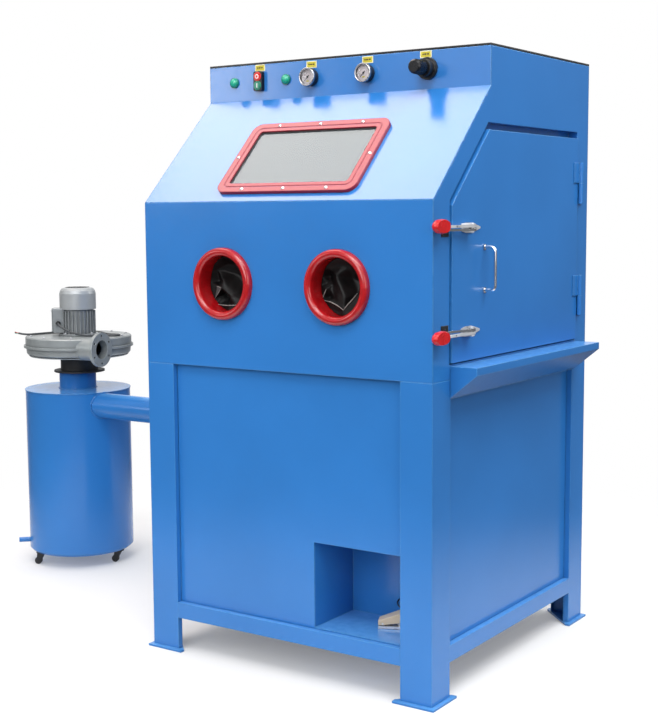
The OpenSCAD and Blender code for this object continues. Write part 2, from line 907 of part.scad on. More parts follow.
// Hollow sloping tread, hinged at its low end
module foot_pedal() {
    wall = 2;
    side = [[0, 9], [pedal_len, 24], [pedal_len, 60], [0, 23]];
    color([0.82, 0.76, 0.62])
    at_pedal() difference() {
        intersection() {
            translate([0, 100, 0]) rotate([90, 0, 0]) linear_extrude(200) polygon(side);
            linear_extrude(70) pedal_plan(0, pedal_len);
        }
        intersection() {
            translate([0, 100, 0]) rotate([90, 0, 0]) linear_extrude(200)
                polygon([[-5, -5], [pedal_len + 5, -5], [pedal_len + 5, 59.1], [-5, 18.7]]);
            linear_extrude(70) pedal_plan(wall, pedal_len);
        }
        translate([pedal_axle[0], -5, pedal_axle[1]]) rotate([-90, 0, 0]) cylinder(r = 2.5 + fit, h = 60);
    }
}

// A round tube swept through the points of a route
function ring_at(p, t, ref, r, n) =
    let (u = unit(cross(ref, t)), v = cross(t, u))
    [for (k = [0 : n - 1]) p + r * (cos(k * 360 / n) * u + sin(k * 360 / n) * v)];

module swept(route, r, n, ref) {
    m = len(route);
    heading = [for (i = [0 : m - 1]) unit(route[min(i + 1, m - 1)] - route[max(i - 1, 0)])];
    points = [for (i = [0 : m - 1]) each ring_at(route[i], heading[i], ref, r, n)];
    sides = [for (i = [0 : m - 2], k = [0 : n - 1])
        let (a = i * n + k, b = i * n + (k + 1) % n) each [[a, b, b + n], [a, b + n, a + n]]];
    caps = [[for (k = [0 : n - 1]) n - 1 - k], [for (k = [0 : n - 1]) (m - 1) * n + k]];
    polyhedron(points, concat(sides, caps));
}

// Air line of the foot valve: up from the valve, over, and back into the wall elbow
line_r = 2;
line_route = [[332.5, -286.9, 155.5], [337.9, -284.4, 155.5], [343, -282, 156.5],
    [347.5, -279.9, 159], [351, -278, 163.5], [353.5, -276.5, 171], [354.5, -275, 180],
    [354, -274, 190], [350, -273, 200], [342, -273, 208], [332, -273, 213], [320, -273, 214],
    [308, -273, 214], [296, -273, 214], [284, -273, 214], [272, -273, 214], [264, -273, 213],
    [257, -273, 209], [252, -273, 204], [250, -273, 198], [252, -273, 192], [257, -273, 187],
    [264, -273, 183], [272, -273, 182], [281, -273, 182], [290, -273, 182],
    [298, -273, 182], [306, -273, 182]];

module pedal_line() {
    color([0.05, 0.05, 0.06])
    swept(line_route, line_r, 8, [0, 1, 0]);
}

// Threaded inlet of the compressed air, on the rear panel
module air_inlet() {
    color([0.75, 0.6, 0.3])
    translate([reg_x, hy + gap, ctrl_z - 200]) rotate([-90, 0, 0]) difference() {
        union() {
            cylinder(r = 14, h = 6);
            translate([0, 0, -20]) cylinder(r = 10, h = 21);
            translate([0, 0, 5]) cylinder(r = 10, h = 15);
        }
        translate([0, 0, -30]) cylinder(r = 6, h = 60);
    }
}

// ---- dust collector -------------------------------------------------------

module at_drum() {
    translate([-drum_x, drum_y, 0]) children();
}

module at_fan() {
    translate([fan_x, fan_y, 0]) children();
}

drum_wall = 3;
collar_r = 67;
collar_top = 703;

// Closed drum with its collar, caster sockets and drain stub
module collector_drum() {
    chamfer = 9;
    inner_r = drum_r - drum_wall;
    collar_inner_r = collar_r - drum_wall;
    color([0.22, 0.47, 0.8])
    at_drum() {
        difference() {
            union() {
                rotate_extrude($fn = 128) difference() {
                    polygon([[0, drum_z0], [drum_r - chamfer, drum_z0], [drum_r, drum_z0 + chamfer],
                        [drum_r, drum_z1 - 3], [drum_r + 2, drum_z1 - 3], [drum_r + 2, drum_z1],
                        [collar_r, drum_z1], [collar_r, collar_top], [0, collar_top]]);
                    polygon([[-1, drum_z0 + drum_wall], [drum_r - chamfer - 1, drum_z0 + drum_wall],
                        [inner_r, drum_z0 + chamfer + 1], [inner_r, drum_z1 - drum_wall],
                        [collar_inner_r, drum_z1 - drum_wall], [collar_inner_r, collar_top + 1],
                        [-1, collar_top + 1]]);
                }
                for (a = caster_a) rotate([0, 0, a]) translate([caster_at, 0, drum_z0])
                    cylinder(r = 10, h = 24);
                rotate([0, 0, 225]) translate([drum_r - 2, 0, 78]) rotate([0, 90, 0])
                    cylinder(r = 9, h = 42);
            }
            for (a = caster_a) rotate([0, 0, a]) translate([caster_at, 0, drum_z0 - 1])
                cylinder(r = stem_r + fit, h = 21);
            rotate([0, 0, 225]) translate([drum_r - 20, 0, 78]) rotate([0, 90, 0])
                cylinder(r = 6.5, h = 100);
            translate([0, duct_y - drum_y, duct_z]) rotate([0, 90, 0])
                cylinder(r = duct_r + 0.5, h = 300);
        }
    }
}

// Pleated cartridge hung under the drum's collar
module filter_cartridge() {
    folds = 30;
    color([0.85, 0.84, 0.78])
    at_drum() difference() {
        union() {
            translate([0, 0, 240]) cylinder(r = 112, h = 380);
            for (i = [0 : folds - 1]) rotate([0, 0, i * 360 / folds])
                translate([108, -4, 250]) cube([10, 8, 360]);
            translate([0, 0, 620]) cylinder(r = 124, h = 19.5);
        }
        translate([0, 0, 250]) cylinder(r = 95, h = 400);
    }
}

// Straight duct from the drum into the hopper
module dust_duct() {
    x0 = -drum_x + 165;
    x1 = -232;
    color([0.22, 0.47, 0.8])
    translate([x0, duct_y, duct_z]) rotate([0, 90, 0]) tube(duct_r, duct_r - 2.5, x1 - x0);
}

// Rubber flange and neck between the collar and the blower
module blower_neck() {
    color([0.05, 0.05, 0.06])
    at_fan() translate([0, 0, collar_top + gap]) {
        tube(92, 52, 6);
        translate([0, 0, 5]) tube(68, 52, fan_z0 - collar_top - 5 - 2 * gap);
    }
}

module at_outlet() {
    at_fan() rotate([0, 0, fan_turn]) translate([0, -outlet_off, outlet_z]) rotate([0, 90, 0]) children();
}

// Cast scroll housing with its seam ridge and flanged outlet
module blower_housing() {
    shell = 4;
    seam = (fan_z0 + fan_z1) / 2;
    color([0.6, 0.62, 0.64])
    difference() {
        union() {
            at_fan() rotate_extrude($fn = 128) polygon([[0, fan_z0], [fan_r - 14, fan_z0],
                [fan_r - 4, fan_z0 + 12], [fan_r - 2, seam - 4], [fan_r + 6, seam - 4],
                [fan_r + 6, seam + 4], [fan_r, seam + 4], [fan_r, fan_z1 - 4], [fan_r - 4, fan_z1],
                [0, fan_z1]]);
            at_outlet() {
                translate([0, 0, 40]) cylinder(r = outlet_bore + 7, h = outlet_len - 45);
                difference() {
                    translate([0, 0, outlet_len - 12]) cylinder(r = 61, h = 12);
                    for (a = [0 : 60 : 300]) rotate([0, 0, a]) translate([49, 0, outlet_len - 20])
                        cylinder(r = 4.5, h = 30);
                }
            }
        }
        at_fan() {
            translate([0, 0, fan_z0 + shell]) cylinder(r = fan_r - 8, h = fan_z1 - fan_z0 - 2 * shell);
            translate([0, 0, fan_z0 - 1]) cylinder(r = 52, h = 20);
            translate([0, 0, fan_z1 - 10]) cylinder(r = 30, h = 20);
        }
        at_outlet() translate([0, 0, 60]) cylinder(r = outlet_bore, h = outlet_len);
    }
}

shaft_r = 9;
motor_z0 = fan_z1 + gap;

// Wheel with radial blades on the motor shaft
module blower_impeller() {
    blades = 12;
    disc_z = fan_z0 + 12;
    color([0.7, 0.71, 0.72])
    at_fan() {
        translate([0, 0, disc_z]) cylinder(r = 160, h = 3);
        for (i = [0 : blades - 1]) rotate([0, 0, i * 360 / blades])
            translate([62, -1, disc_z]) cube([96, 2, 44]);
        translate([0, 0, disc_z]) cylinder(r = 24, h = 40);
        translate([0, 0, disc_z]) cylinder(r = shaft_r, h = 140);
    }
}

box_turn = 225;                  // direction of the terminal box from the motor axis
lead_r = 3.5;
gland_at = [72, 34, 885];

// Finned motor on a flange, with its fan cowl, terminal box and cable gland
module blower_motor() {
    fins = 28;
    color([0.56, 0.58, 0.6])
    at_fan() {
        difference() {
            union() {
                translate([0, 0, motor_z0]) cylinder(r = 72, h = 7);
                translate([0, 0, motor_z0]) cylinder(r = 57, h = 95);
                for (i = [0 : fins - 1]) rotate([0, 0, i * 360 / fins])
                    translate([50, -1.5, motor_z0 + 6]) cube([13.5, 3, 84]);
                rotate([0, 0, box_turn]) {
                    translate([50, -32, motor_z0 + 12]) cube([40, 64, 88]);
                    translate([gland_at[0], gland_at[1] - 4, gland_at[2]]) rotate([-90, 0, 0])
                        cylinder(r = 8, h = 14);
                }
            }
            translate([0, 0, motor_z0 - 1]) cylinder(r = shaft_r + fit, h = 86);
            rotate([0, 0, box_turn]) translate(gland_at) rotate([-90, 0, 0])
                cylinder(r = lead_r + fit, h = 20);
        }
        fan_cowl();
    }
}

// Pressed cover over the motor's own fan
module fan_cowl() {
    z0 = motor_z0 + 96;
    h = 79;
    rotate_extrude($fn = 96) difference() {
        polygon([[0, z0], [66, z0], [66, z0 + h - 22], [63, z0 + h - 11], [57, z0 + h - 3],
            [48, z0 + h], [0, z0 + h]]);
        polygon([[-1, z0 - 1], [64, z0 - 1], [64, z0 + h - 22], [61, z0 + h - 13],
            [55, z0 + h - 5], [47, z0 + h - 2], [-1, z0 + h - 2]]);
    }
}

// Motor lead in the frame of the terminal box, as [outwards, to the front, up]
lead_route = [[72, 34, 885], [72, 44, 885], [72, 56, 884], [69, 70, 880], [60, 82, 873],
    [46, 90, 865], [30, 94, 857], [12, 96, 850], [-6, 95, 845], [-24, 92, 842], [-42, 88, 841],
    [-60, 85, 841], [-78, 86, 841], [-96, 91, 841], [-113, 98, 841], [-128, 101, 841],
    [-140, 96, 841], [-146, 84, 841], [-142, 71, 841], [-131, 62, 841], [-118, 54, 841], [-107, 42, 841],
    [-100, 26, 841], [-96, 8, 841], [-93, -11, 841], [-87, -30, 841], [-77, -48, 841],
    [-63, -64, 841], [-46, -77, 841], [-27, -86, 841], [-7, -91, 841], [14, -93, 841],
    [35, -92, 841], [56, -89, 841], [76, -84, 841], [95, -76, 841], [113, -66, 841],
    [130, -54, 841], [146, -42, 841], [163, -31, 841], [181, -22, 841], [199, -15, 843],
    [216, -10, 847]];

function box_to_part(p) = [fan_x + p[0] * cos(box_turn) - p[1] * sin(box_turn),
    fan_y + p[0] * sin(box_turn) + p[1] * cos(box_turn), p[2]];

module motor_lead() {
    color([0.3, 0.31, 0.32])
    swept([for (p = lead_route) box_to_part(p)], lead_r, 8, [0, 0, 1]);
}

// ---- casters --------------------------------------------------------------

module at_caster(i) {
    at_drum() rotate([0, 0, caster_a[i]]) translate([caster_at, 0, 0]) rotate([0, 0, 30 - caster_a[i]])
        children();
}

// Swivel fork with its stem and axle
module caster_fork(i) {
    color([0.07, 0.07, 0.08])
    at_caster(i) {
        translate([0, 0, drum_z0 - 20]) cylinder(r = stem_r, h = 37);
        translate([0, 0, drum_z0 - 5]) cylinder(r = 20, h = 4);
        for (y = [-11, 9]) translate([0, y, 0]) {
            translate([0, 2, 0]) rotate([90, 0, 0]) linear_extrude(2)
                polygon([[-14, drum_z0 - 4], [14, drum_z0 - 4], [6 - caster_trail, wheel_r - 6],
                    [-6 - caster_trail, wheel_r - 6]]);
        }
        translate([-caster_trail, -11, wheel_r]) rotate([-90, 0, 0]) cylinder(r = 3, h = 22);
    }
}

module caster_wheel(i) {
    color([0.05, 0.05, 0.05])
    at_caster(i) translate([-caster_trail, -7, wheel_r]) rotate([-90, 0, 0]) tube(wheel_r, 3 + fit, 14);
}

module right_caster_fork() { caster_fork(0); }
module rear_caster_fork() { caster_fork(1); }
module left_caster_fork() { caster_fork(2); }
module right_caster_wheel() { caster_wheel(0); }
module rear_caster_wheel() { caster_wheel(1); }
module left_caster_wheel() { caster_wheel(2); }

// ---- nodes ----------------------------------------------------------------

base_frame();
lower_panels();
pedal_niche();
pedal_base();
foot_pedal();
pedal_line();
front_upper_panel();
slope_fascia_panel();
roof_panel();
left_side_panel();
right_side_panel();
rear_panel();
hopper();
work_grate();
blast_gun();
work_lamp();
window_frame();
window_seal();
window_glass();
window_screws();
glove_rings();
gloves();
button_station();
stop_button();
start_button();
pilot_lamps();
gauge_cases();
left_gauge_needle();
right_gauge_needle();
regulator_body();
regulator_knob();
side_door();
door_seal();
door_handle();
frame_hinge_halves();
door_hinge_halves();
loading_ledge();
latch_bases();
latch_keepers();
upper_latch_lever();
lower_latch_lever();
upper_latch_grip();
lower_latch_grip();
upper_latch_hook();
lower_latch_hook();
air_inlet();
collector_drum();
filter_cartridge();
dust_duct();
blower_neck();
blower_housing();
blower_impeller();
blower_motor();
motor_lead();
right_caster_fork();
rear_caster_fork();
left_caster_fork();
right_caster_wheel();
rear_caster_wheel();
left_caster_wheel();
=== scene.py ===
"""Looks of the sandblast cabinet: camera, cords, materials, gloves, fittings and light."""
import json
import math

import bmesh
import bpy
from mathutils import Matrix, Vector, geometry, noise

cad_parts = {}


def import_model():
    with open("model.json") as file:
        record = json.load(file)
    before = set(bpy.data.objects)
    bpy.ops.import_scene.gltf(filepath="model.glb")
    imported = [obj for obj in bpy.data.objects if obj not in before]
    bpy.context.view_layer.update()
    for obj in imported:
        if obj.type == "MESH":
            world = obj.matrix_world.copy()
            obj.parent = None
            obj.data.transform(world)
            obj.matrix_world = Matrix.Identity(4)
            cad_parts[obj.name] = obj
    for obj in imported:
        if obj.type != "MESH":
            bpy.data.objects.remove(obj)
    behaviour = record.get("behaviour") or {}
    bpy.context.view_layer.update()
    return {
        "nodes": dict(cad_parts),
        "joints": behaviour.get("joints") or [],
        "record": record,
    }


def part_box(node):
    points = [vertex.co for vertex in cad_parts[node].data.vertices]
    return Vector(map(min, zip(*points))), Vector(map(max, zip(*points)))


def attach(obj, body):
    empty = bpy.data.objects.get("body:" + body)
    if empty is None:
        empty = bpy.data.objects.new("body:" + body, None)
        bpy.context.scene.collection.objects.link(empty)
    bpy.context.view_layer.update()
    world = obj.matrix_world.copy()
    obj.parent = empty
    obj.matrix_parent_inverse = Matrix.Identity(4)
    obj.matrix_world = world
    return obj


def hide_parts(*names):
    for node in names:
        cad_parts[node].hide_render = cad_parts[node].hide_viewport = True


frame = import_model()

MM = 0.001
X, Y, Z = Vector((1, 0, 0)), Vector((0, 1, 0)), Vector((0, 0, 1))


# ---- camera -----------------------------------------------------------------

CAMERA_AT = Vector((2.0976, -3.3221, 1.2788))
CAMERA_YAW = math.radians(34.218)
CAMERA_PITCH = math.radians(-6.468)
CAMERA_ROLL = math.radians(-0.358)
CAMERA_LENS = 65.39


def make_camera():
    """Camera at eye height in front of the right-hand front corner."""
    level = Vector((-math.sin(CAMERA_YAW), math.cos(CAMERA_YAW), 0))
    ahead = level * math.cos(CAMERA_PITCH) + Z * math.sin(CAMERA_PITCH)
    right = ahead.cross(Z).normalized()
    above = right.cross(ahead)
    side = right * math.cos(CAMERA_ROLL) + above * math.sin(CAMERA_ROLL)
    top = above * math.cos(CAMERA_ROLL) - right * math.sin(CAMERA_ROLL)
    camera = bpy.data.objects.new("camera", bpy.data.cameras.new("camera"))
    bpy.context.scene.collection.objects.link(camera)
    camera.matrix_world = Matrix.Translation(CAMERA_AT) @ axes(side, top, -ahead)
    camera.data.lens = CAMERA_LENS
    camera.data.sensor_width = 36
    camera.data.clip_end = 100
    bpy.context.scene.camera = camera


def axes(x, y, z):
    """Rotation whose columns are the three directions."""
    return Matrix((x, y, z)).transposed().to_4x4()


make_camera()


# ---- placing ----------------------------------------------------------------

def facing(at, outwards, up):
    """Local frame at a point: Z outwards, Y up, X to the right when looked at from outside."""
    outwards, up = outwards.normalized(), up.normalized()
    return Matrix.Translation(at) @ axes(up.cross(outwards), up, outwards)


def middle(node):
    """Centre of the box round a CAD node."""
    low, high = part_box(node)
    return (low + high) / 2


def pivot(name):
    """Point on the axis of a joint."""
    return Vector(next(j for j in frame["joints"] if j["name"] == name)["pos_m"])


def shift(x, y, z=0.0):
    """Move by millimetres."""
    return Matrix.Translation((x * MM, y * MM, z * MM))


def mm(points):
    """Points or profiles written in millimetres, in metres."""
    return [tuple(c * MM for c in p) for p in points]


# ---- shapes -----------------------------------------------------------------

def add_object(name, data):
    """Object with this data, in the scene."""
    made = bpy.data.objects.new(name, data)
    bpy.context.scene.collection.objects.link(made)
    return made


def to_mesh(bm, name):
    """Mesh with what the bmesh holds; the bmesh is freed."""
    mesh = bpy.data.meshes.new(name)
    bm.to_mesh(mesh)
    bm.free()
    return mesh


def merge(bm, part):
    """Adds one bmesh to another and frees it."""
    mesh = to_mesh(part, "part")
    bm.from_mesh(mesh)
    bpy.data.meshes.remove(mesh)


def circle(radius, count=32):
    """Points round a circle."""
    turn = 2 * math.pi / count
    return [(radius * math.cos(i * turn), radius * math.sin(i * turn)) for i in range(count)]


def rounded_rectangle(width, height, radius, steps=6):
    """Outline of a rectangle with round corners, centred on the origin."""
    points = []
    for corner in range(4):
        sx, sy = [(1, 1), (-1, 1), (-1, -1), (1, -1)][corner]
        for step in range(steps + 1):
            a = (corner + step / steps) * math.pi / 2
            points.append((sx * (width / 2 - radius) + radius * math.cos(a),
                           sy * (height / 2 - radius) + radius * math.sin(a)))
    return points


class Shape:
    """A mesh built from lathed, extruded and swept solids in one local frame."""

    def __init__(self, place=None):
        self.bm = bmesh.new()
        self.place = place or Matrix.Identity(4)

    def _ring(self, points, at):
        """Vertices at local points."""
        return [self.bm.verts.new(self.place @ at @ Vector(p)) for p in points]

    def _skin(self, rings, closed):
        """Quads between neighbouring rings; a ring of one point is a tip."""
        pairs = list(zip(rings, rings[1:])) + ([(rings[-1], rings[0])] if closed else [])
        for a, b in pairs:
            n = max(len(a), len(b))
            for i in range(n):
                j = (i + 1) % n
                corners = [a[i % len(a)], a[j % len(a)], b[j % len(b)], b[i % len(b)]]
                face = list(dict.fromkeys(corners))
                if len(face) > 2:
                    self.bm.faces.new(face)

    def lathe(self, profile, at=Matrix.Identity(4), count=48):
        """Turns a half profile of (radius, height) points about the local Z axis."""
        rings = []
        for r, z in profile:
            flat = circle(r, count) if r > 0 else [(0, 0)]
            rings.append(self._ring([(x, y, z) for x, y in flat], at))
        self._skin(rings, False)
        return self

    def prism(self, outline, low, high, at=Matrix.Identity(4)):
        """Extrudes a convex outline between two heights."""
        rings = [self._ring([(x, y, z) for x, y in outline], at) for z in (low, high)]
        self._skin(rings, False)
        self.bm.faces.new(rings[0])
        self.bm.faces.new(rings[1])
        return self

    def disc(self, radius, low, high, count=48):
        """Disc between two heights, in millimetres."""
        return self.lathe(mm([(0, low), (radius, low), (radius, high), (0, high)]), count=count)

    def ring(self, inner, outer, low, high, count=48):
        """Flat ring of a square section, in millimetres."""
        return self.lathe(mm([(inner, low), (outer, low), (outer, high), (inner, high),
                              (inner, low)]), count=count)

    def plate(self, width, height, corner, low, high, at=Matrix.Identity(4), steps=6):
        """Plate with round corners between two heights, in millimetres."""
        outline = rounded_rectangle(width * MM, height * MM, corner * MM, steps)
        return self.prism(outline, low * MM, high * MM, at)

    def sweep(self, points, radius, sides=10, closed=False):
        """Round bead along a route; radius is a number or a function of the index."""
        points = [Vector(p) for p in points]
        size = len(points)
        rings = []
        side = None
        for i, point in enumerate(points):
            after = points[(i + 1) % size] if closed else points[min(i + 1, size - 1)]
            before = points[i - 1] if closed or i else point
            along = (after - before).normalized()
            side = (side or along.orthogonal())
            side = (side - along * side.dot(along)).normalized()
            other = along.cross(side)
            r = radius(i) if callable(radius) else radius
            rings.append(self._ring([point + side * x + other * y for x, y in circle(r, sides)],
                                    Matrix.Identity(4)))
        self._skin(rings, closed)
        if not closed:
            self.bm.faces.new(rings[0])
            self.bm.faces.new(rings[-1])
        return self

    def make(self, name, material, body, slot, sharp=35, bevel=0.0):
        """Turns the shape into a piece that rides on a body."""
        bmesh.ops.recalc_face_normals(self.bm, faces=self.bm.faces)
        limit = math.radians(sharp)
        for edge in self.bm.edges:
            edge.smooth = len(edge.link_faces) == 2 and edge.calc_face_angle(0) < limit
        for face in self.bm.faces:
            face.smooth = True
        mesh = to_mesh(self.bm, name)
        mesh.materials.append(material)
        piece = add_object(name, mesh)
        if bevel:
            soften = piece.modifiers.new("edges", "BEVEL")
            soften.width = bevel
            soften.segments = 2
            soften.limit_method = "ANGLE"
            soften.angle_limit = limit
            soften.harden_normals = True
        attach(piece, body)
        return piece


# ---- materials --------------------------------------------------------------

class Shader:
    """A Principled material whose inputs are fed by short chains of nodes."""

    def __init__(self, name, **values):
        self.material = bpy.data.materials.new(name)
        self.material.use_nodes = True
        self.tree = self.material.node_tree
        self.surface = self.tree.nodes["Principled BSDF"]
        self.place = self.add("ShaderNodeTexCoord").outputs["Object"]
        for key, value in values.items():
            self.feed(key.replace("_", " "), value)

    def put(self, socket, value):
        """Links a socket to another or gives it a value."""
        if isinstance(value, bpy.types.NodeSocket):
            self.tree.links.new(value, socket)
        elif isinstance(value, (tuple, list)) and len(value) == 3 and socket.type == "RGBA":
            socket.default_value = (*value, 1)
        else:
            socket.default_value = value

    def add(self, kind, inputs=None, **settings):
        """New node with its inputs and its own settings."""
        node = self.tree.nodes.new(kind)
        for key, value in settings.items():
            setattr(node, key, value)
        for key, value in (inputs or {}).items():
            self.put(node.inputs[key], value)
        return node

    def feed(self, name, value):
        """Sets or links an input of the Principled node."""
        self.put(self.surface.inputs[name], value)
        return self

    def noise(self, scale, detail=3.0, stretch=(1, 1, 1), rough=0.5):
        """Noise from about 0.2 to 0.8; scale counts features per metre."""
        place = self.place
        if stretch != (1, 1, 1):
            place = self.add("ShaderNodeMapping", {"Vector": place, "Scale": stretch}).outputs[0]
        made = self.add("ShaderNodeTexNoise",
                        {"Vector": place, "Scale": scale, "Detail": detail, "Roughness": rough})
        return made.outputs["Fac"]

    def span(self, value, low, high, to_low=0.0, to_high=1.0):
        """Maps low..high of a value onto another range, clamped."""
        inputs = {"Value": value, "From Min": low, "From Max": high, "To Min": to_low,
                  "To Max": to_high}
        return self.add("ShaderNodeMapRange", inputs).outputs[0]

    def mix(self, factor, a, b):
        """Blend of two colours."""
        return self.add("ShaderNodeMixRGB", {"Fac": factor, "Color1": a, "Color2": b}).outputs[0]

    def maths(self, operation, a, b=0.0):
        """Result of a sum on two values."""
        return self.add("ShaderNodeMath", {0: a, 1: b}, operation=operation).outputs[0]

    def rounded(self, radius):
        """Normal that rounds sharp edges by a radius."""
        return self.add("ShaderNodeBevel", {"Radius": radius}, samples=4).outputs[0]

    def edge(self, rounded):
        """1 along edges and 0 on flats, from a rounded normal."""
        true = self.add("ShaderNodeNewGeometry").outputs["Normal"]
        dot = self.add("ShaderNodeVectorMath", {0: rounded, 1: true}, operation="DOT_PRODUCT")
        return self.span(dot.outputs["Value"], 0.985, 0.75)

    def corner(self, distance):
        """1 in the open and lower in corners."""
        return self.add("ShaderNodeAmbientOcclusion", {"Distance": distance}, samples=4).outputs["AO"]

    def bump(self, height, distance, normal=None, strength=1.0):
        """Normal bent by a height, on top of another normal."""
        inputs = {"Height": height, "Distance": distance, "Strength": strength}
        if normal is not None:
            inputs["Normal"] = normal
        return self.add("ShaderNodeBump", inputs).outputs[0]

    def along(self, axis):
        """Coordinate along an axis, in metres."""
        split = self.add("ShaderNodeSeparateXYZ", {0: self.place})
        return split.outputs["XYZ".index(axis)]


def shade(colour, factor):
    """A colour made darker or lighter."""
    return tuple(min(1.0, c * factor) for c in colour)


def powder_coat(name, colour, edge, roughness=0.2, gloss=0.42, top_light_tint=(0.20, 0.52, 0.98)):
    """Semi-gloss powder coat: orange peel, faint clouding, painted top light as a paler tint on upward
    faces, painted shade in corners, and edges lighter from thin paint and a painted highlight.
    """
    s = Shader(name)
    rounded = s.rounded(3.5 * MM)
    cloud = s.span(s.noise(2.2, 3), 0.35, 0.65)
    fine = s.span(s.noise(60, 4), 0.3, 0.7)
    base = s.mix(cloud, shade(colour, 0.95), shade(colour, 1.05))
    # painted top light: faces that point up are mixed, in patches, toward a paler tint of the paint
    upward = s.add("ShaderNodeSeparateXYZ", {0: rounded}).outputs["Z"]
    painted_top_light = s.maths("MULTIPLY", s.span(upward, 0.78, 0.97),
                      s.span(s.noise(40, 4), 0.3, 0.7, 0.24, 0.38))
    base = s.mix(painted_top_light, base, top_light_tint)
    # painted shade: darker towards inside corners, from an ambient occlusion mask
    base = s.mix(s.span(s.corner(6 * MM), 0.3, 0.8, 0.45, 0.0), base, shade(colour, 0.4))
    # lighter edges: partly thin paint worn through, partly a painted highlight along the rounded edges
    edge_wear_and_highlight = s.maths("MULTIPLY", s.edge(rounded), s.span(s.noise(35, 4), 0.35, 0.65, 0.5, 1.0))
    base = s.mix(edge_wear_and_highlight, base, edge)
    s.feed("Base Color", base)
    s.feed("Roughness", s.span(fine, 0, 1, roughness * 0.85, roughness * 1.25))
    s.feed("Specular IOR Level", gloss)
    peel = s.bump(s.noise(330, 2), 0.10 * MM, rounded, 0.35)
    s.feed("Normal", s.bump(s.noise(5, 1), 0.6 * MM, peel, 0.25))
    return s.material


def moulded(name, colour, roughness, grain=900, depth=0.05, edge=1.6, gloss=0.5):
    """Moulded plastic or rubber with a fine grain and lighter edges: rubbed wear plus a painted edge
    highlight.
    """
    s = Shader(name)
    rounded = s.rounded(0.8 * MM)
    mottled = s.mix(s.span(s.noise(45, 4), 0.3, 0.7), shade(colour, 0.85), shade(colour, 1.12))
    # lighter edges: rubbed wear plus a painted highlight
    s.feed("Base Color", s.mix(s.maths("MULTIPLY", s.edge(rounded), 0.6), mottled, shade(colour, edge)))
    s.feed("Roughness", s.span(s.noise(25, 4), 0.3, 0.7, roughness * 0.85, roughness * 1.2))
    s.feed("Specular IOR Level", gloss)
    s.feed("Normal", s.bump(s.noise(grain, 2), depth * MM, rounded, 0.5))
    return s.material


def polished(name, colour, roughness, scratch=0.03, metal=1.0):
    """Plated or bare metal with fine scratches and uneven polish."""
    s = Shader(name, Metallic=metal)
    rounded = s.rounded(0.5 * MM)
    smear = s.noise(22, 4)
    base = s.mix(s.span(smear, 0.3, 0.7), shade(colour, 0.88), shade(colour, 1.06))
    # painted shade: darker towards corners, from an ambient occlusion mask
    s.feed("Base Color", s.mix(s.span(s.corner(9 * MM), 0.25, 0.85, 0.85, 0.0), base,
                               shade(colour, 0.12)))
    s.feed("Roughness", s.span(smear, 0.3, 0.7, roughness, roughness * 1.9))
    lines = s.noise(700, 3, (1, 1, 0.05))
    s.feed("Normal", s.bump(lines, scratch * MM, rounded, 0.4))
    return s.material


def casting(name, colour, split=None, lighter=None):
    """Painted casting with a sandy skin; above the height split a smoother lighter pressing."""
    s = Shader(name, Metallic=0.35)
    rounded = s.rounded(1.5 * MM)
    patchy = s.span(s.noise(14, 5), 0.3, 0.7)
    body = s.mix(patchy, shade(colour, 0.86), shade(colour, 1.1))
    if split:
        above = s.span(s.along("Z"), split - 0.0005, split + 0.0005)
        body = s.mix(above, body, lighter)
    # painted shade: darker towards corners and hollows, from an ambient occlusion mask
    painted_corner_shade = s.span(s.corner(12 * MM), 0.3, 0.95, 0.75, 0.0)
    body = s.mix(painted_corner_shade, body, shade(colour, 0.22))
    # painted highlight: edges and seams made much lighter
    body = s.mix(s.maths("MULTIPLY", s.edge(rounded), 0.9), body, shade(colour, 1.9))
    s.feed("Base Color", body)
    s.feed("Roughness", s.span(s.noise(60, 3), 0.3, 0.7, 0.3, 0.48))
    sand = s.bump(s.noise(750, 3), 0.12 * MM, rounded, 0.6)
    s.feed("Normal", s.bump(s.noise(60, 2), 0.3 * MM, sand, 0.4))
    return s.material


def clear_pane(name, tint, haze, polish, bend):
    """Clear sheet: a sharp skin of reflection over a see-through body with a little haze."""
    s = Shader(name)
    s.tree.nodes.remove(s.surface)
    output = s.tree.nodes["Material Output"]
    body = s.add("ShaderNodeBsdfTransparent", {"Color": tint})
    film = s.add("ShaderNodeBsdfDiffuse", {"Color": (0.55, 0.61, 0.72)})
    dusty = s.span(s.noise(2.5, 1), 0.3, 0.7, haze * 0.9, haze * 1.1)
    veiled = s.add("ShaderNodeMixShader", {0: dusty, 1: body.outputs[0], 2: film.outputs[0]})
    gloss = s.add("ShaderNodeBsdfGlossy", {"Color": (0.86, 0.97, 1.0), "Roughness": polish})
    fresnel = s.add("ShaderNodeFresnel", {"IOR": bend}).outputs[0]
    shell = s.add("ShaderNodeMixShader", {0: fresnel, 1: veiled.outputs[0], 2: gloss.outputs[0]})
    s.tree.links.new(shell.outputs[0], output.inputs["Surface"])
    return s.material


def lens(name, colour):
    """Tinted indicator lens that glows faintly."""
    s = Shader(name, Base_Color=colour, Roughness=0.12, Coat_Weight=0.6)
    s.feed("Subsurface Weight", 0.3)
    s.feed("Emission Color", colour)
    s.feed("Emission Strength", 0.12)
    s.feed("Normal", s.bump(s.noise(500, 2), 0.05 * MM, None, 0.3))
    return s.material


def pleated(name):
    """Pleated paper with a fine crease."""
    s = Shader(name, Roughness=0.9)
    s.feed("Base Color", s.mix(s.noise(30, 4), (0.55, 0.52, 0.44), (0.8, 0.77, 0.68)))
    s.feed("Normal", s.bump(s.noise(900, 3, (1, 1, 0.3)), 0.2 * MM))
    return s.material


BLUE = (0.024, 0.158, 0.455)

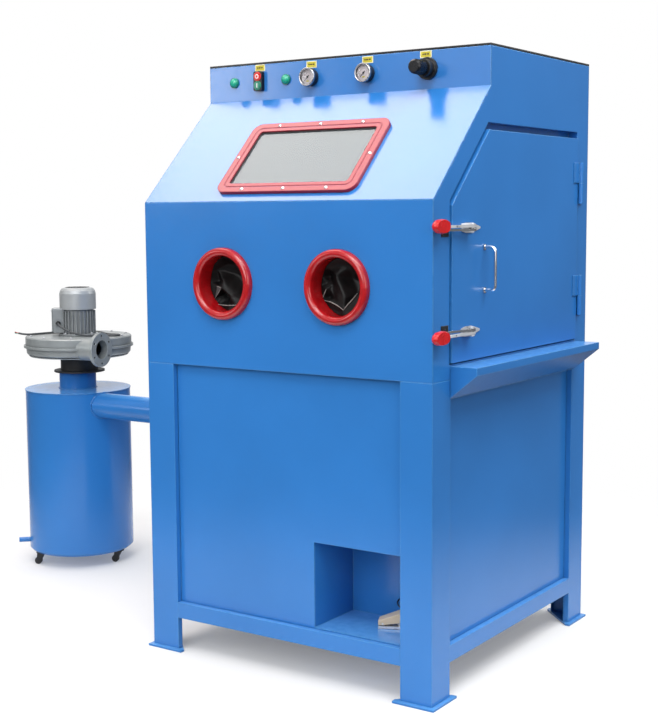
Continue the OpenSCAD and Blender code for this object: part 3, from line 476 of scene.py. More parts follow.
blue = powder_coat("blue_powder_coat", BLUE, (0.085, 0.31, 0.60))
blue_gloss = powder_coat("blue_gloss_coat", BLUE, (0.085, 0.31, 0.60), 0.18, 0.8)
black_paint = powder_coat("black_satin_paint", (0.012, 0.013, 0.015), (0.02, 0.02, 0.024), 0.3, 0.4,
                          (0.03, 0.032, 0.036))
red_rim = moulded("red_moulding", (0.37, 0.005, 0.008), 0.2, 500, 0.01, 1.3, 0.7)
red_coat = powder_coat("red_gloss_coat", (0.28, 0.012, 0.03), (0.40, 0.06, 0.09), 0.2, 0.43)
red_vinyl = moulded("red_dipped_vinyl", (0.52, 0.006, 0.008), 0.25, 500, 0.08)
black_plastic = moulded("black_plastic", (0.006, 0.006, 0.0075), 0.25, 700, 0.02, 1.6, 0.35)
black_rubber = moulded("black_rubber", (0.018, 0.018, 0.019), 0.5, 600, 0.12, 2.5)
glove_rubber = moulded("glove_rubber", (0.004, 0.0042, 0.0045), 0.42, 350, 0.12, 2.0, 0.22)
# painted light: a lighter copy of the glove rubber for folded facets that face the lamps
lit_facet_rubber = moulded("lit_facet_rubber", (0.065, 0.065, 0.068), 0.6, 350, 0.25)
# pale crease lines: worn rubber plus a painted highlight along the folds
crease_wear_highlight_rubber = moulded("crease_wear_and_highlight", (0.26, 0.25, 0.24), 0.55, 350, 0.2)
red_plastic = moulded("red_plastic", (0.62, 0.02, 0.015), 0.25)
green_plastic = moulded("green_plastic", (0.01, 0.22, 0.13), 0.25)
green_lens = lens("green_lens", (0.01, 0.32, 0.2))
chrome = polished("chrome_plate", (0.86, 0.87, 0.89), 0.07)
zinc = polished("bright_zinc", (0.74, 0.75, 0.78), 0.24, 0.06, 0.55)
bezel_steel = polished("bezel_steel", (0.46, 0.465, 0.48), 0.17, 0.01)
sheet_steel = polished("bare_sheet_steel", (0.42, 0.43, 0.45), 0.34, 0.1)
dark_bolt = polished("blackened_bolt", (0.05, 0.05, 0.055), 0.3, 0.05)
brass = polished("turned_brass", (0.72, 0.52, 0.22), 0.2, 0.05)
pane = clear_pane("window_pane", (0.74, 0.76, 0.77), 0.10, 0.12, 1.6)
gauge_pane = clear_pane("gauge_lens", (0.97, 0.975, 0.98), 0.0, 0.02, 1.15)
print_black = moulded("printed_black", (0.012, 0.012, 0.012), 0.5)
print_red = moulded("printed_red", (0.5, 0.02, 0.015), 0.5)
print_white = moulded("printed_white", (0.75, 0.75, 0.73), 0.5)
dial_white = moulded("dial_white", (0.56, 0.49, 0.50), 0.45)
label_yellow = moulded("label_yellow", (0.50, 0.42, 0.02), 0.45)
label_pale = moulded("label_pale", (0.72, 0.68, 0.42), 0.4)
label_ink = moulded("label_ink", (0.07, 0.05, 0.015), 0.45)
cream = powder_coat("cream_paint", (0.58, 0.46, 0.31), (0.75, 0.66, 0.5), 0.35, 0.5, (0.85, 0.78, 0.62))
grey_cast = casting("grey_casting", (0.29, 0.315, 0.32))
grey_motor = casting("grey_motor", (0.30, 0.32, 0.33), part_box("blower_motor")[1].z - 80 * MM,
                     (0.38, 0.40, 0.41))
lead_rubber = moulded("lead_sheath", (0.055, 0.06, 0.065), 0.45, 700, 0.08, 2.0)
filter_media = pleated("pleated_media")
lamp_opal = moulded("opal_lamp", (0.8, 0.8, 0.76), 0.3)

LOOKS = {
    "blue_paint": blue, "black_paint": black_paint, "black_plastic": black_plastic,
    "black_rubber": black_rubber, "red_moulding": red_rim, "red_vinyl": red_vinyl,
    "red_plastic": red_plastic, "green_plastic": green_plastic, "pale_glass": pane,
    "chrome": chrome, "black_needle": print_black, "cast_grey": grey_cast,
    "pressed_steel": sheet_steel, "cream_paint": cream, "lamp_white": lamp_opal,
    "brass": brass, "filter_fabric": filter_media, "grey_lead": lead_rubber,
}


def dress_nodes():
    """Gives every CAD node the look of its slot, or a special one."""
    special = {"blower_motor": grey_motor, "pedal_base": zinc, "pilot_lamps": green_plastic,
               "window_frame": red_coat, "slope_fascia_panel": blue_gloss, "latch_bases": zinc,
               "upper_latch_lever": zinc, "lower_latch_lever": zinc,
               "gauge_cases": bezel_steel}
    for part in frame["record"]["subparts"]:
        piece = frame["nodes"][part["node"]]
        look = special.get(part["node"], LOOKS[part["material_slot"]])
        for material_slot in piece.material_slots:
            material_slot.material = look


# ---- cords ------------------------------------------------------------------

BOX_TURN = math.radians(225)     # the terminal box faces this way from the motor axis
LEAD_DIAMETER = 7.0
LEAD_ROUTE = [
    (72, 34, 885), (72, 44, 885), (72, 56, 884), (69, 70, 880), (60, 82, 873), (46, 90, 865),
    (30, 94, 857),
    (12, 96, 850), (-6, 95, 845), (-24, 92, 842), (-42, 88, 841), (-60, 85, 841), (-78, 86, 841),
    (-96, 91, 841), (-113, 98, 841), (-128, 101, 841), (-140, 96, 841), (-146, 84, 841),
    (-142, 71, 841), (-131, 62, 841), (-118, 54, 841), (-107, 42, 841), (-100, 26, 841),
    (-96, 8, 841), (-93, -11, 841), (-87, -30, 841), (-77, -48, 841), (-63, -64, 841),
    (-46, -77, 841), (-27, -86, 841), (-7, -91, 841), (14, -93, 841), (35, -92, 841),
    (56, -89, 841), (76, -84, 841), (95, -76, 841), (113, -66, 841), (130, -54, 841),
    (146, -42, 841), (163, -31, 841), (181, -22, 841), (199, -15, 843), (216, -10, 847)]
HOSE_DIAMETER = 4.0
HOSE_ROUTE = [
    (332.5, -286.9, 155.5), (337.9, -284.4, 155.5), (343, -282, 156.5), (347.5, -279.9, 159),
    (351, -278, 163.5), (353.5, -276.5, 171), (354.5, -275, 180), (354, -274, 190),
    (350, -273, 200), (342, -273, 208), (332, -273, 213), (320, -273, 214), (308, -273, 214),
    (296, -273, 214), (284, -273, 214), (272, -273, 214), (264, -273, 213), (257, -273, 209),
    (252, -273, 204), (250, -273, 198), (252, -273, 192), (257, -273, 187), (264, -273, 183),
    (272, -273, 182), (281, -273, 182), (290, -273, 182), (298, -273, 182), (306, -273, 182)]


def cord(name, points, diameter, material, body, node):
    """A round cord along a route, standing for its CAD tube."""
    curve = bpy.data.curves.new(name, "CURVE")
    curve.dimensions = "3D"
    curve.bevel_depth = diameter / 2
    curve.bevel_resolution = 5
    curve.use_fill_caps = True
    line = curve.splines.new("POLY")
    line.points.add(len(points) - 1)
    for i, p in enumerate(points):
        line.points[i].co = (*p, 1)
    line.use_smooth = True
    curve.materials.append(material)
    piece = add_object(name, curve)
    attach(piece, body)
    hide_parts(node)


def smooth_route(points, parts=4):
    """The route with rounded corners: points on a spline through the given ones."""
    out = []
    last = len(points) - 1
    for i in range(last):
        p0, p1 = points[max(i - 1, 0)], points[i]
        p2, p3 = points[i + 1], points[min(i + 2, last)]
        for k in range(parts):
            t = k / parts
            out.append(0.5 * (2 * p1 + (p2 - p0) * t + (2 * p0 - 5 * p1 + 4 * p2 - p3) * t * t
                              + (3 * p1 - p0 - 3 * p2 + p3) * t ** 3))
    return out + [points[-1]]


def motor_lead():
    """Lead from the terminal box round the motor to its stripped end."""
    axis = middle("blower_impeller")
    turn = Matrix.Rotation(BOX_TURN, 3, "Z")
    points = [Vector((axis.x, axis.y, 0)) + turn @ Vector(p) * MM for p in LEAD_ROUTE]
    end, before = points[-1], points[-2]
    ahead = (end - before).normalized()
    for i, look in enumerate((print_black, print_red, green_plastic)):
        a = i * 2 * math.pi / 3
        off = (Z * math.sin(a) + ahead.cross(Z) * math.cos(a)) * 1.5 * MM
        route = [end + off - ahead * 4 * MM, end + off + ahead * 6 * MM,
                 end + off * 2.2 + ahead * 14 * MM]
        Shape().sweep(route, 1.1 * MM, 8).make(
            f"lead_core_{i + 1}", look, "cabinet", "grey_lead")
    cord("motor_lead_cable", smooth_route(points), LEAD_DIAMETER * MM, lead_rubber, "cabinet",
         "motor_lead")


def valve_hose():
    """Hose from the foot valve, up and round behind it."""
    points = [Vector(p) * MM for p in HOSE_ROUTE]
    cord("foot_valve_hose", smooth_route(points), HOSE_DIAMETER * MM, black_plastic, "cabinet",
         "pedal_line")


# ---- gauntlets --------------------------------------------------------------

PORT_X = 190 * MM
PORT_Z = 1085 * MM
MOUTH_Y = -442 * MM              # where the folded rubber meets the ring's bore
MOUTH_R = 78 * MM

# Folded rubber inside a ring, in millimetres. Corners: across, up, depth behind the mouth.
# Folds join corners by number, pale panels (painted light on facets facing the lamps) are named
# by their corners, and each crease edge (worn rubber with a painted highlight) has its route (in the
# same terms) and thickness.
LEFT_CORNERS = [
    (-60, 36, 16), (-36, 2, 9), (-8, -36, 5), (12, -60, 4), (-12, 22, 44), (22, -8, 52),
    (36, 30, 46), (0, 54, 34), (48, -28, 34), (-30, 52, 30), (-58, 4, 26), (-44, -30, 34),
    (-24, -46, 30), (-57, -11, 8), (-38, -15, 3), (-61, -46, 3), (-50, -38, 22), (-45, -62, 3),
    (-15, -64, 1), (30, -50, 12), (60, 6, 30), (-18, -58, 14)]
LEFT_FOLDS = [(0, 1), (1, 2), (2, 3), (13, 14), (14, 15), (13, 15), (17, 18), (18, 3), (10, 13),
              (4, 5), (9, 7)]
LEFT_PALE = {(13, 14, 15)}
LEFT_EDGES = [([(-47, -61, 0), (-30, -62.5, -1), (-12, -63, -1.5), (6, -62, -1), (20, -61, 1)], 1.5),
              ([(-57, -11, 7), (-47, -12, 4), (-38, -15, 2)], 1.3),
              ([(-38, -15, 2.5), (-47, -28, 2), (-61, -46, 2)], 0.8)]

RIGHT_CORNERS = [
    (-50, 42, 12), (-32, 27, 8), (-4, -29, 4), (-5, -61, 1), (-66, -38, 3), (-52, -10, 10),
    (36, -18, 7), (-20, 56, 18), (2, 50, 24), (0, 20, 42), (28, 10, 48), (22, -20, 36),
    (10, -42, 26), (50, 26, 40), (-60, -8, 2), (-69, -31, 2), (-58, -30, 20), (-46, 4, 14),
    (-63, 8, 12), (-40, -34, 9), (-24, -66, 6), (56, -4, 26), (-60, 26, 26)]
RIGHT_FOLDS = [(0, 1), (1, 2), (2, 3), (4, 3), (3, 6), (0, 7), (7, 8), (14, 15), (5, 19), (19, 4),
               (17, 5), (9, 10)]
RIGHT_PALE = set()
RIGHT_EDGES = [([(-65, -39, 1), (-48, -41, 0), (-30, -47, -1), (-14, -55, -1.5), (-4, -62, -1)], 1.5),
               ([(-4, -62, -1), (8, -48, 1), (22, -33, 4), (36, -17, 6)], 1.4),
               ([(-59, -7, 1), (-64, -18, 0.5), (-70, -31, 1)], 1.1)]


def crumple(p, size):
    """Offset of a crumpled surface at a point."""
    return size * (noise.noise(p * 55) + 0.45 * noise.noise(p * 140 + Vector((3, 1, 7))))


def folded_mouth(bm, corners, folds, pale, centre):
    """Angular folds of rubber inside the ring, as a fan of creased panels with a skirt."""
    rim = 40
    flat = [Vector(c[:2]) * MM for c in corners]
    depth = [c[2] * MM for c in corners]
    for i in range(rim):
        a = 2 * math.pi * i / rim
        flat.append(Vector((math.cos(a), math.sin(a))) * MOUTH_R)
        depth.append((3 + 3 * math.sin(2 * a + 0.8) + 2 * math.sin(5 * a)) * MM)
    points, _, faces, origin, _, _ = geometry.delaunay_2d_cdt(flat, folds, [], 0, 1e-6)
    verts = []
    for p, source in zip(points, origin):
        d = depth[source[0]] if source else 20 * MM
        verts.append(bm.verts.new(centre + Vector((p.x, d, p.y))))
    made = []
    for f in faces:
        face = bm.faces.new([verts[i] for i in f])
        names = tuple(sorted(origin[i][0] for i in f if origin[i]))
        # facets listed as pale take the lighter copy of the rubber: painted light
        face.material_index = 1 if names in pale else 0
        made.append(face)
    edges = list({e for f in made for e in f.edges})
    bmesh.ops.subdivide_edges(bm, edges=edges, cuts=7, use_grid_fill=True)
    inner = [v for v in bm.verts if not v.is_boundary]
    for _ in range(2):
        bmesh.ops.smooth_vert(bm, verts=inner, factor=0.5, use_axis_x=True, use_axis_y=True,
                              use_axis_z=True)
    bm.normal_update()
    for v in inner:
        v.co += v.normal * crumple(v.co, 0.9 * MM)
    for back, radius in ((-416, 78), (-413, 80), (-413, 85.6)):
        edges = [e for e in bm.edges if e.is_boundary]
        grown = bmesh.ops.extrude_edge_only(bm, edges=edges)["geom"]
        for v in (g for g in grown if isinstance(g, bmesh.types.BMVert)):
            off = Vector((v.co.x - centre.x, 0, v.co.z - centre.z)).normalized() * radius * MM
            v.co = Vector((centre.x + off.x, back * MM, centre.z + off.z))


def sleeve(bm, centre, side):
    """Sagging wrinkled sleeve clamped over the spigot, from the panel to the wrist."""
    profile = [(-466, 85.6), (-440, 85.7), (-412, 85.8), (-385, 87.0), (-355, 85), (-300, 70),
               (-250, 55), (-215, 49), (-190, 45), (-170, 43), (-150, 38)]
    start, wrist = profile[0][0], profile[-1][0]
    steps, around = 110, 84
    rings = []
    for i in range(steps + 1):
        y = start + (wrist - start) * i / steps
        k = next(k for k in range(len(profile) - 1) if y <= profile[k + 1][0] + 1e-6)
        (y0, r0), (y1, r1) = profile[k], profile[k + 1]
        radius = r0 + (r1 - r0) * (y - y0) / (y1 - y0)
        slack = min(1, max(0, (y + 412) / 60))
        sag = -20 * min(1, max(0, (y + 400) / 240)) ** 1.3
        ring = []
        for j in range(around):
            a = 2 * math.pi * j / around
            wave = (2.6 * math.sin(y * 0.19 + 1.6 * math.sin(a + side) + side)
                    + 1.7 * math.sin(y * 0.37 + 2.3 * math.sin(2 * a + 1)))
            p = Vector((radius * math.cos(a), y, radius * math.sin(a))) * MM
            bumpy = crumple(p + Vector((side, 0, 0)), 3.4) * slack
            r = radius - slack * (3.2 - wave) + bumpy
            ring.append(bm.verts.new(Vector((centre.x + r * MM * math.cos(a), y * MM,
                                             centre.z + (r * math.sin(a) + sag) * MM))))
        rings.append(ring)
    for a, b in zip(rings, rings[1:]):
        for j in range(around):
            k = (j + 1) % around
            bm.faces.new((a[j], a[k], b[k], b[j]))


def ball_chain(points, radii):
    """Closed tube with round ends through points."""
    shape = Shape()
    route, sizes = [], []
    first = (points[0] - points[1]).normalized()
    for k in (1.0, 0.92, 0.7, 0.38):
        route.append(points[0] + first * radii[0] * k)
        sizes.append(max(radii[0] * math.sqrt(1 - k * k), 0.3 * MM))
    for p, q, a, b in zip(points, points[1:], radii, radii[1:]):
        for t in (0, 0.25, 0.5, 0.75):
            route.append(p.lerp(q, t))
            sizes.append(a + (b - a) * t)
    last = (points[-1] - points[-2]).normalized()
    for k in (0, 0.38, 0.7, 0.92, 1.0):
        route.append(points[-1] + last * radii[-1] * k)
        sizes.append(max(radii[-1] * math.sqrt(1 - k * k), 0.3 * MM))
    shape.sweep(route, lambda i: sizes[i], 20)
    return shape.bm


def hand(bm, centre, side):
    """Empty rubber hand hanging at the end of the sleeve, remeshed into one skin."""
    def at(x, y, z):
        return Vector((centre.x + x * side * MM, y * MM, centre.z + z * MM))

    chains = [([at(0, -158, -20), at(0, -135, -24), at(0, -118, -34)], [37, 34, 27])]
    for x, drop in ((-27, 0), (-9, 3), (9, 2), (26, -3)):
        chains.append(([at(x * 0.9, -122, -32), at(x * 1.05, -100, -44), at(x * 1.1, -91, -60 - drop),
                        at(x * 1.08, -96, -72 - drop)], [12, 11, 10, 9]))
    chains.append(([at(-22, -150, -22), at(-42, -136, -32), at(-48, -124, -48)], [14, 12, 10]))
    lump = bmesh.new()
    for points, sizes in chains:
        merge(lump, ball_chain(points, [s * MM for s in sizes]))
    holder = add_object("lump", to_mesh(lump, "lump"))
    fuse = holder.modifiers.new("fuse", "REMESH")
    fuse.mode = "VOXEL"
    fuse.voxel_size = 2.2 * MM
    relax = holder.modifiers.new("relax", "SMOOTH")
    relax.iterations = 5
    graph = bpy.context.evaluated_depsgraph_get()
    fused = bpy.data.meshes.new_from_object(holder.evaluated_get(graph))
    bpy.data.objects.remove(holder)
    skin = bmesh.new()
    skin.from_mesh(fused)
    skin.normal_update()
    bpy.data.meshes.remove(fused)
    for v in skin.verts:
        v.co += v.normal * crumple(v.co, 1.6 * MM)
    merge(bm, skin)


def gauntlet(name, side, corners, folds, pale, edges):
    """One glove: folded mouth, pale creases of worn rubber with a painted highlight, sleeve and hand in
    one mesh.
    """
    centre = Vector((side * PORT_X, MOUTH_Y, PORT_Z))
    bm = bmesh.new()
    folded_mouth(bm, corners, folds, pale, centre)
    crease = Shape()
    for points, thick in edges:
        route = smooth_route([centre + Vector((x, d, z)) * MM for x, z, d in points], 5)
        last = len(route) - 1
        crease.sweep(route, lambda i: thick * MM * (0.35 + 0.65 * math.sin(math.pi * i / last)), 8)
    # crease lines take the pale rubber: wear plus painted highlight
    for face in crease.bm.faces:
        face.material_index = 2
    merge(bm, crease.bm)
    sleeve(bm, centre, side)
    hand(bm, centre, side)
    for face in bm.faces:
        face.smooth = True
    mesh = to_mesh(bm, name)
    for look in (glove_rubber, lit_facet_rubber, crease_wear_highlight_rubber):
        mesh.materials.append(look)
    piece = add_object(name, mesh)
    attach(piece, "cabinet")
    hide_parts("gloves")
    clamp = Shape(facing(Vector((centre.x, -438 * MM, centre.z)), -Y, Z))
    clamp.ring(86.0, 87.2, -6, 6, 64)
    clamp.plate(16, 4, 1, -7, 7, shift(0, -88.6))
    clamp.make(f"{name}_clamp", zinc, "cabinet", "chrome")


# ---- control panel ----------------------------------------------------------

FASCIA_Y = -170 * MM
CONTROL_Z = 1665 * MM
LAMP_XS = (-380 * MM, -190 * MM)
LABELS_AT = ((-285, 1704), (-100, 1701.7), (91, 1702), (278, 1703.6))   # x and z, in mm

# Height of the dial's face in front of the fascia, and the scale on it, in millimetres
DIAL = 19.3
DIAL_RADIUS = 21.8
SCALE_RADIUS = 20.4
SCALE_TICKS = 40
SCALE_START = 225
SCALE_SWEEP = 270
ARC_RADIUS = 12


def on_fascia(x, z=CONTROL_Z):
    """Frame on the face of the fascia: Z towards the operator."""
    return facing(Vector((x, FASCIA_Y, z)), -Y, Z)


def scale_turns():
    """Angle of each tick of a gauge's scale."""
    return [math.radians(SCALE_START - i * SCALE_SWEEP / SCALE_TICKS)
            for i in range(SCALE_TICKS + 1)]


def gauge(side):
    """Dial, scale, bezel, lens and case band of one pressure gauge."""
    place = on_fascia(pivot(f"{side}_gauge_needle").x)
    dial = Shape(place).disc(DIAL_RADIUS, DIAL - 0.6, DIAL)
    dial.make(f"{side}_gauge_dial", dial_white, "cabinet", "lamp_white")
    ticks = Shape(place)
    for i, turn in enumerate(scale_turns()):
        deep = 3.8 if i % 10 == 0 else 2.7 if i % 5 == 0 else 1.5
        wide = 0.75 if i % 5 == 0 else 0.4
        at = Matrix.Rotation(turn, 4, "Z") @ shift(SCALE_RADIUS - deep / 2, 0)
        ticks.plate(deep, wide, 0.1, DIAL, DIAL + 0.12, at, 1)
    ticks.sweep(mm([(ARC_RADIUS * math.cos(turn), ARC_RADIUS * math.sin(turn), DIAL + 0.05)
                    for turn in scale_turns()]), 0.25 * MM, 6)
    ticks.make(f"{side}_gauge_scale", print_black, "cabinet", "black_plastic")
    mark = Shape(place).plate(9, 3.6, 0.6, DIAL, DIAL + 0.1, shift(0, -11.5))
    mark.make(f"{side}_gauge_mark", label_yellow, "cabinet", "lamp_white")
    bezel = Shape(place).lathe(mm([
        (21.9, 19.4), (21.9, 22.4), (22.3, 24.6), (23.0, 26.0), (24.0, 26.7), (25.2, 26.6),
        (26.1, 25.9), (26.5, 24.6), (26.5, 20.4), (26.1, 19.8), (21.9, 19.4)]), count=96)
    bezel.make(f"{side}_gauge_bezel", bezel_steel, "cabinet", "chrome", sharp=50)
    glass = Shape(place).lathe(mm([
        (0, 23.6), (12, 23.3), (DIAL_RADIUS, 22.4), (DIAL_RADIUS, 21.8), (12, 22.7),
        (0, 23.0)]), count=64)
    glass.make(f"{side}_gauge_lens", gauge_pane, "cabinet", "pale_glass", sharp=60)
    band = Shape(place).lathe(mm([
        (23.5, 0.4), (24.8, 1.2), (25.2, 6), (26.2, 16), (26.2, 19.8), (23.5, 19.8),
        (23.5, 0.4)]), count=64)
    band.make(f"{side}_gauge_case_band", black_plastic, "cabinet", "black_plastic")


def labels():
    """Blank labels above the controls: a pale frame round a yellow field with plain bars."""
    for i, (x, z) in enumerate(LABELS_AT, 1):
        place = on_fascia(x * MM, z * MM)
        plate = Shape(place).plate(36, 19, 1.2, 0, 0.45)
        plate.make(f"label_plate_{i}", label_pale, "cabinet", "lamp_white")
        field = Shape(place).plate(30, 14.5, 0.8, 0.45, 0.6)
        field.make(f"label_field_{i}", label_yellow, "cabinet", "lamp_white")
        bars = Shape(place)
        for across, wide in ((-8.5, 4.5), (-1.5, 6.5), (7, 6.5)):
            bars.plate(wide, 4.2, 0.5, 0.6, 0.68, shift(across, 0.4))
        bars.make(f"label_bars_{i}", label_ink, "cabinet", "black_plastic")


def button_marks():
    """Ring on the stop button, bar on the start button, and their collars."""
    top = 17.5
    stop, start = [on_fascia(middle(f"{name}_button").x, middle(f"{name}_button").z)
                   for name in ("stop", "start")]
    ring = Shape(stop).ring(4.0, 6.4, top, top + 0.25, 40)
    ring.make("stop_button_ring", print_white, "stop_button", "lamp_white")
    bar = Shape(start).plate(3.4, 12, 1, top, top + 0.25)
    bar.make("start_button_bar", print_white, "start_button", "lamp_white")
    for place, name, look, slot in ((stop, "stop", red_plastic, "red_plastic"),
                                    (start, "start", green_plastic, "green_plastic")):
        collar = Shape(place).lathe(mm([
            (11.2, 14.2), (13.6, 14.2), (13.6, 15.2), (12.8, 16.0), (11.2, 16.0), (11.2, 14.2)]))
        collar.make(f"{name}_button_collar", look, "cabinet", slot)


def lamp_lenses():
    """Round green lenses over the pilot lamps, each in a rim."""
    radius, foot, rise = 12.4, 5.2, 9.4
    for i, x in enumerate(LAMP_XS, 1):
        profile = [(0, foot + rise)]
        for k in range(1, 13):
            a = k * math.pi / 24
            profile.append((radius * math.sin(a), foot + rise * math.cos(a)))
        profile += [(radius, 4.4), (0, 4.4)]
        dome = Shape(on_fascia(x)).lathe(mm(profile))
        dome.make(f"pilot_lens_{i}", green_lens, "cabinet", "green_plastic")
        rim = Shape(on_fascia(x)).lathe(mm([
            (12.8, 4.3), (15.1, 4.3), (14.9, 5.6), (13.9, 6.3), (12.8, 6.3), (12.8, 4.3)]))
        rim.make(f"pilot_rim_{i}", green_plastic, "cabinet", "green_plastic")


# ---- welds and fasteners ----------------------------------------------------

DRUM_RADIUS = 190.4 * MM         # just outside the drum's shell
DUCT_RADIUS = 45.8 * MM
COLLAR_RADIUS = 68 * MM
COLLAR_Z = 643.6 * MM
SEAM_TURN = math.radians(118)
SEAM_FOOT, SEAM_STEP = 66 * MM, 4.5 * MM
BOLT = 7 * MM                    # width of the hexagon heads


def bead(name, points, radius, closed=True):
    """Painted weld bead: a sweep whose thickness ripples."""
    shape = Shape()
    shape.sweep(points, lambda i: radius * (1 + 0.18 * math.sin(i * 1.9) + 0.1 * math.sin(i * 0.7)),
                8, closed)
    shape.make(name, blue, "cabinet", "blue_paint", sharp=80)


def drum_welds():
    """Beads round the duct's end and the blower's collar, and down the drum's seam."""
    axis = middle("collector_drum")
    axis.z = 0
    duct = middle("dust_duct")
    loop = []
    for y, z in circle(DUCT_RADIUS, 120):
        across = duct.y + y - axis.y
        loop.append(Vector((axis.x + math.sqrt(DRUM_RADIUS ** 2 - across ** 2), duct.y + y, duct.z + z)))
    bead("drum_duct_weld", loop, 3.2 * MM)
    edge = axis + Vector((math.cos(SEAM_TURN), math.sin(SEAM_TURN), 0)) * DRUM_RADIUS
    bead("drum_seam_weld", [edge + Z * (SEAM_FOOT + i * SEAM_STEP) for i in range(128)],
         2.2 * MM, False)
    bead("collar_weld", [axis + Vector((x, y, COLLAR_Z)) for x, y in circle(COLLAR_RADIUS, 90)],
         2.4 * MM)


def hexagon_bolt(shape, at, height):
    """Hexagon head with a washer, standing on the local plane."""
    foot = 0.12 * BOLT
    shape.lathe([(0, 0), (BOLT * 0.95, 0), (BOLT * 0.95, foot), (0, foot)], at, 24)
    shape.prism(circle(BOLT * 0.58, 6), foot, foot + height * 0.82, at)
    shape.lathe([(BOLT * 0.5, foot + height * 0.82), (BOLT * 0.38, foot + height),
                 (0, foot + height)], at, 24)


def blower_bolts(axis, lid_top):
    """Bolts of the housing's lid and of the motor's foot."""
    lid = Shape(Matrix.Translation((axis.x, axis.y, lid_top)))
    for i in range(10):
        a = 2 * math.pi * (i + 0.5) / 10
        at = shift(174 * math.cos(a), 174 * math.sin(a))
        hexagon_bolt(lid, at @ Matrix.Rotation(i * 0.7, 4, "Z"), 4 * MM)
    lid.make("housing_bolts", zinc, "cabinet", "chrome")
    foot = Shape(Matrix.Translation((axis.x, axis.y, lid_top + 7.2 * MM)))
    for i in range(4):
        a = BOX_TURN + (i + 0.5) * math.pi / 2
        hexagon_bolt(foot, shift(66 * math.cos(a), 66 * math.sin(a)), 4 * MM)
    foot.make("motor_bolts", zinc, "cabinet", "chrome")


def cowl_grille(axis, top):
    """Rings, spokes and hub over the fan cowl."""
    grille = Shape(Matrix.Translation((axis.x, axis.y, top)))
    for inner in (10, 17, 24, 31, 38):
        grille.ring(inner, inner + 3, 0.1, 1.1)
    for i in range(6):
        at = Matrix.Rotation(i * math.pi / 3, 4, "Z") @ shift(26, 0)
        grille.plate(36, 3, 1, 0.1, 1.5, at, 3)
    grille.lathe(mm([(0, 0.1), (9, 0.1), (8, 2), (0, 2.6)]), count=32)
    grille.make("cowl_grille", black_plastic, "cabinet", "black_plastic")


def terminal_box(axis):
    """Cover, gasket, screws and strain relief of the motor's terminal box."""
    box = Matrix.Translation((axis.x, axis.y, 0)) @ Matrix.Rotation(BOX_TURN, 4, "Z")
    face = box @ facing(Vector((90 * MM, 0, 893 * MM)), X, Z)
    cover = Shape(face).plate(61, 85, 5, 0.4, 5)
    cover.make("terminal_box_cover", grey_cast, "cabinet", "cast_grey", bevel=1.2 * MM)
    gasket = Shape(face).plate(62.5, 86.5, 5, 0, 0.6)
    gasket.make("terminal_box_gasket", black_rubber, "cabinet", "black_rubber")
    screws = Shape(face)
    head = mm([(0, 5), (3.4, 5), (3.2, 6.4), (2, 7.3), (0, 7.5)])
    for x in (-25, 25):
        for y in (-37, 37):
            screws.lathe(head, shift(x, y), 20)
    screws.make("terminal_box_screws", zinc, "cabinet", "chrome")
    relief = Shape(box @ facing(Vector(LEAD_ROUTE[1]) * MM, Y, Z))
    relief.prism(circle(9.2 * MM, 6), -4 * MM, 3 * MM)
    relief.lathe(mm([(8.0, 3), (7.2, 5), (5.4, 9), (4.3, 15), (3.75, 15), (3.75, 3),
                     (8.0, 3)]), count=32)
    relief.make("lead_strain_relief", black_plastic, "cabinet", "black_plastic")


def latch_rivets(name, up):
    """Heads of a latch's pivot pin and the bolts through its plate; up is 1 or -1."""
    pin = pivot(f"{name}_latch_lever")
    for end, side, height in (("top", 1, 11), ("bottom", -1, -11.2)):
        place = Matrix.Translation(pin + Z * up * height * MM)
        if side * up < 0:
            place = place @ Matrix.Rotation(math.pi, 4, "X")
        head = Shape(place).lathe(mm([(0, 0), (5.2, 0), (4.9, 1.0), (3.4, 2.0), (0, 2.5)]), count=28)
        head.make(f"{name}_latch_rivet_{end}", zinc, "door", "chrome")
    bolts = Shape(facing(pin - X * 14 * MM, X, Z))
    for along in (14, 38):
        hexagon_bolt(bolts, shift(along, 0), 3.4 * MM)
    bolts.make(f"{name}_latch_bolts", dark_bolt, "door", "chrome")


# ---- floor and light --------------------------------------------------------

FLOOR_GLOW = 0.2
FLOOR_FADE = (1.25, 2.3)         # metres from the middle of the object
SKY_BELOW = (0.16, 0.16, 0.17)
SKY_LOW = (0.17, 0.18, 0.19)
SKY_TOP = (0.95, 0.95, 0.95)
BACK_LEFT = 0.75

# Name, place, aim, width, height, radiance and tint
SOFTBOXES = [
    ("overhead", (-2.2, -0.1, 4.75), (0, -0.35, 1.43), 2.5, 2.2, 4.9, (1.0, 0.87, 0.80)),
    ("front_fill", (0.6, -5.2, 3.1), (0, 0, 0.9), 3.6, 3.0, 4.3, (1, 1, 1)),
    ("front_top", (1.0, -2.5, 4.6), (0, -0.4, 0.4), 2.4, 1.8, 8.0, (1, 1, 1)),
    ("right_top", (2.6, 0.2, 4.6), (0.5, 0, 0.8), 2.0, 2.0, 10.0, (1, 1, 1)),
    ("right_fill", (5.5, -2.6, 2.4), (0, 0, 0.9), 3.0, 3.0, 2.8, (1, 1, 1)),
    ("left_strip", (-4.9, -5.2, 2.4), (-0.3, -0.17, 1.66), 1.5, 1.5, 5.5, (1, 1, 1)),
    ("middle_strip", (-2.3, -5.2, 2.4), (0.35, -0.17, 1.66), 0.9, 1.2, 1.1, (1, 1, 1)),
    ("right_back", (3.6, 5.6, 4.2), (0.5, 0, 1.2), 2.0, 1.6, 7.0, (1, 1, 1)),
]


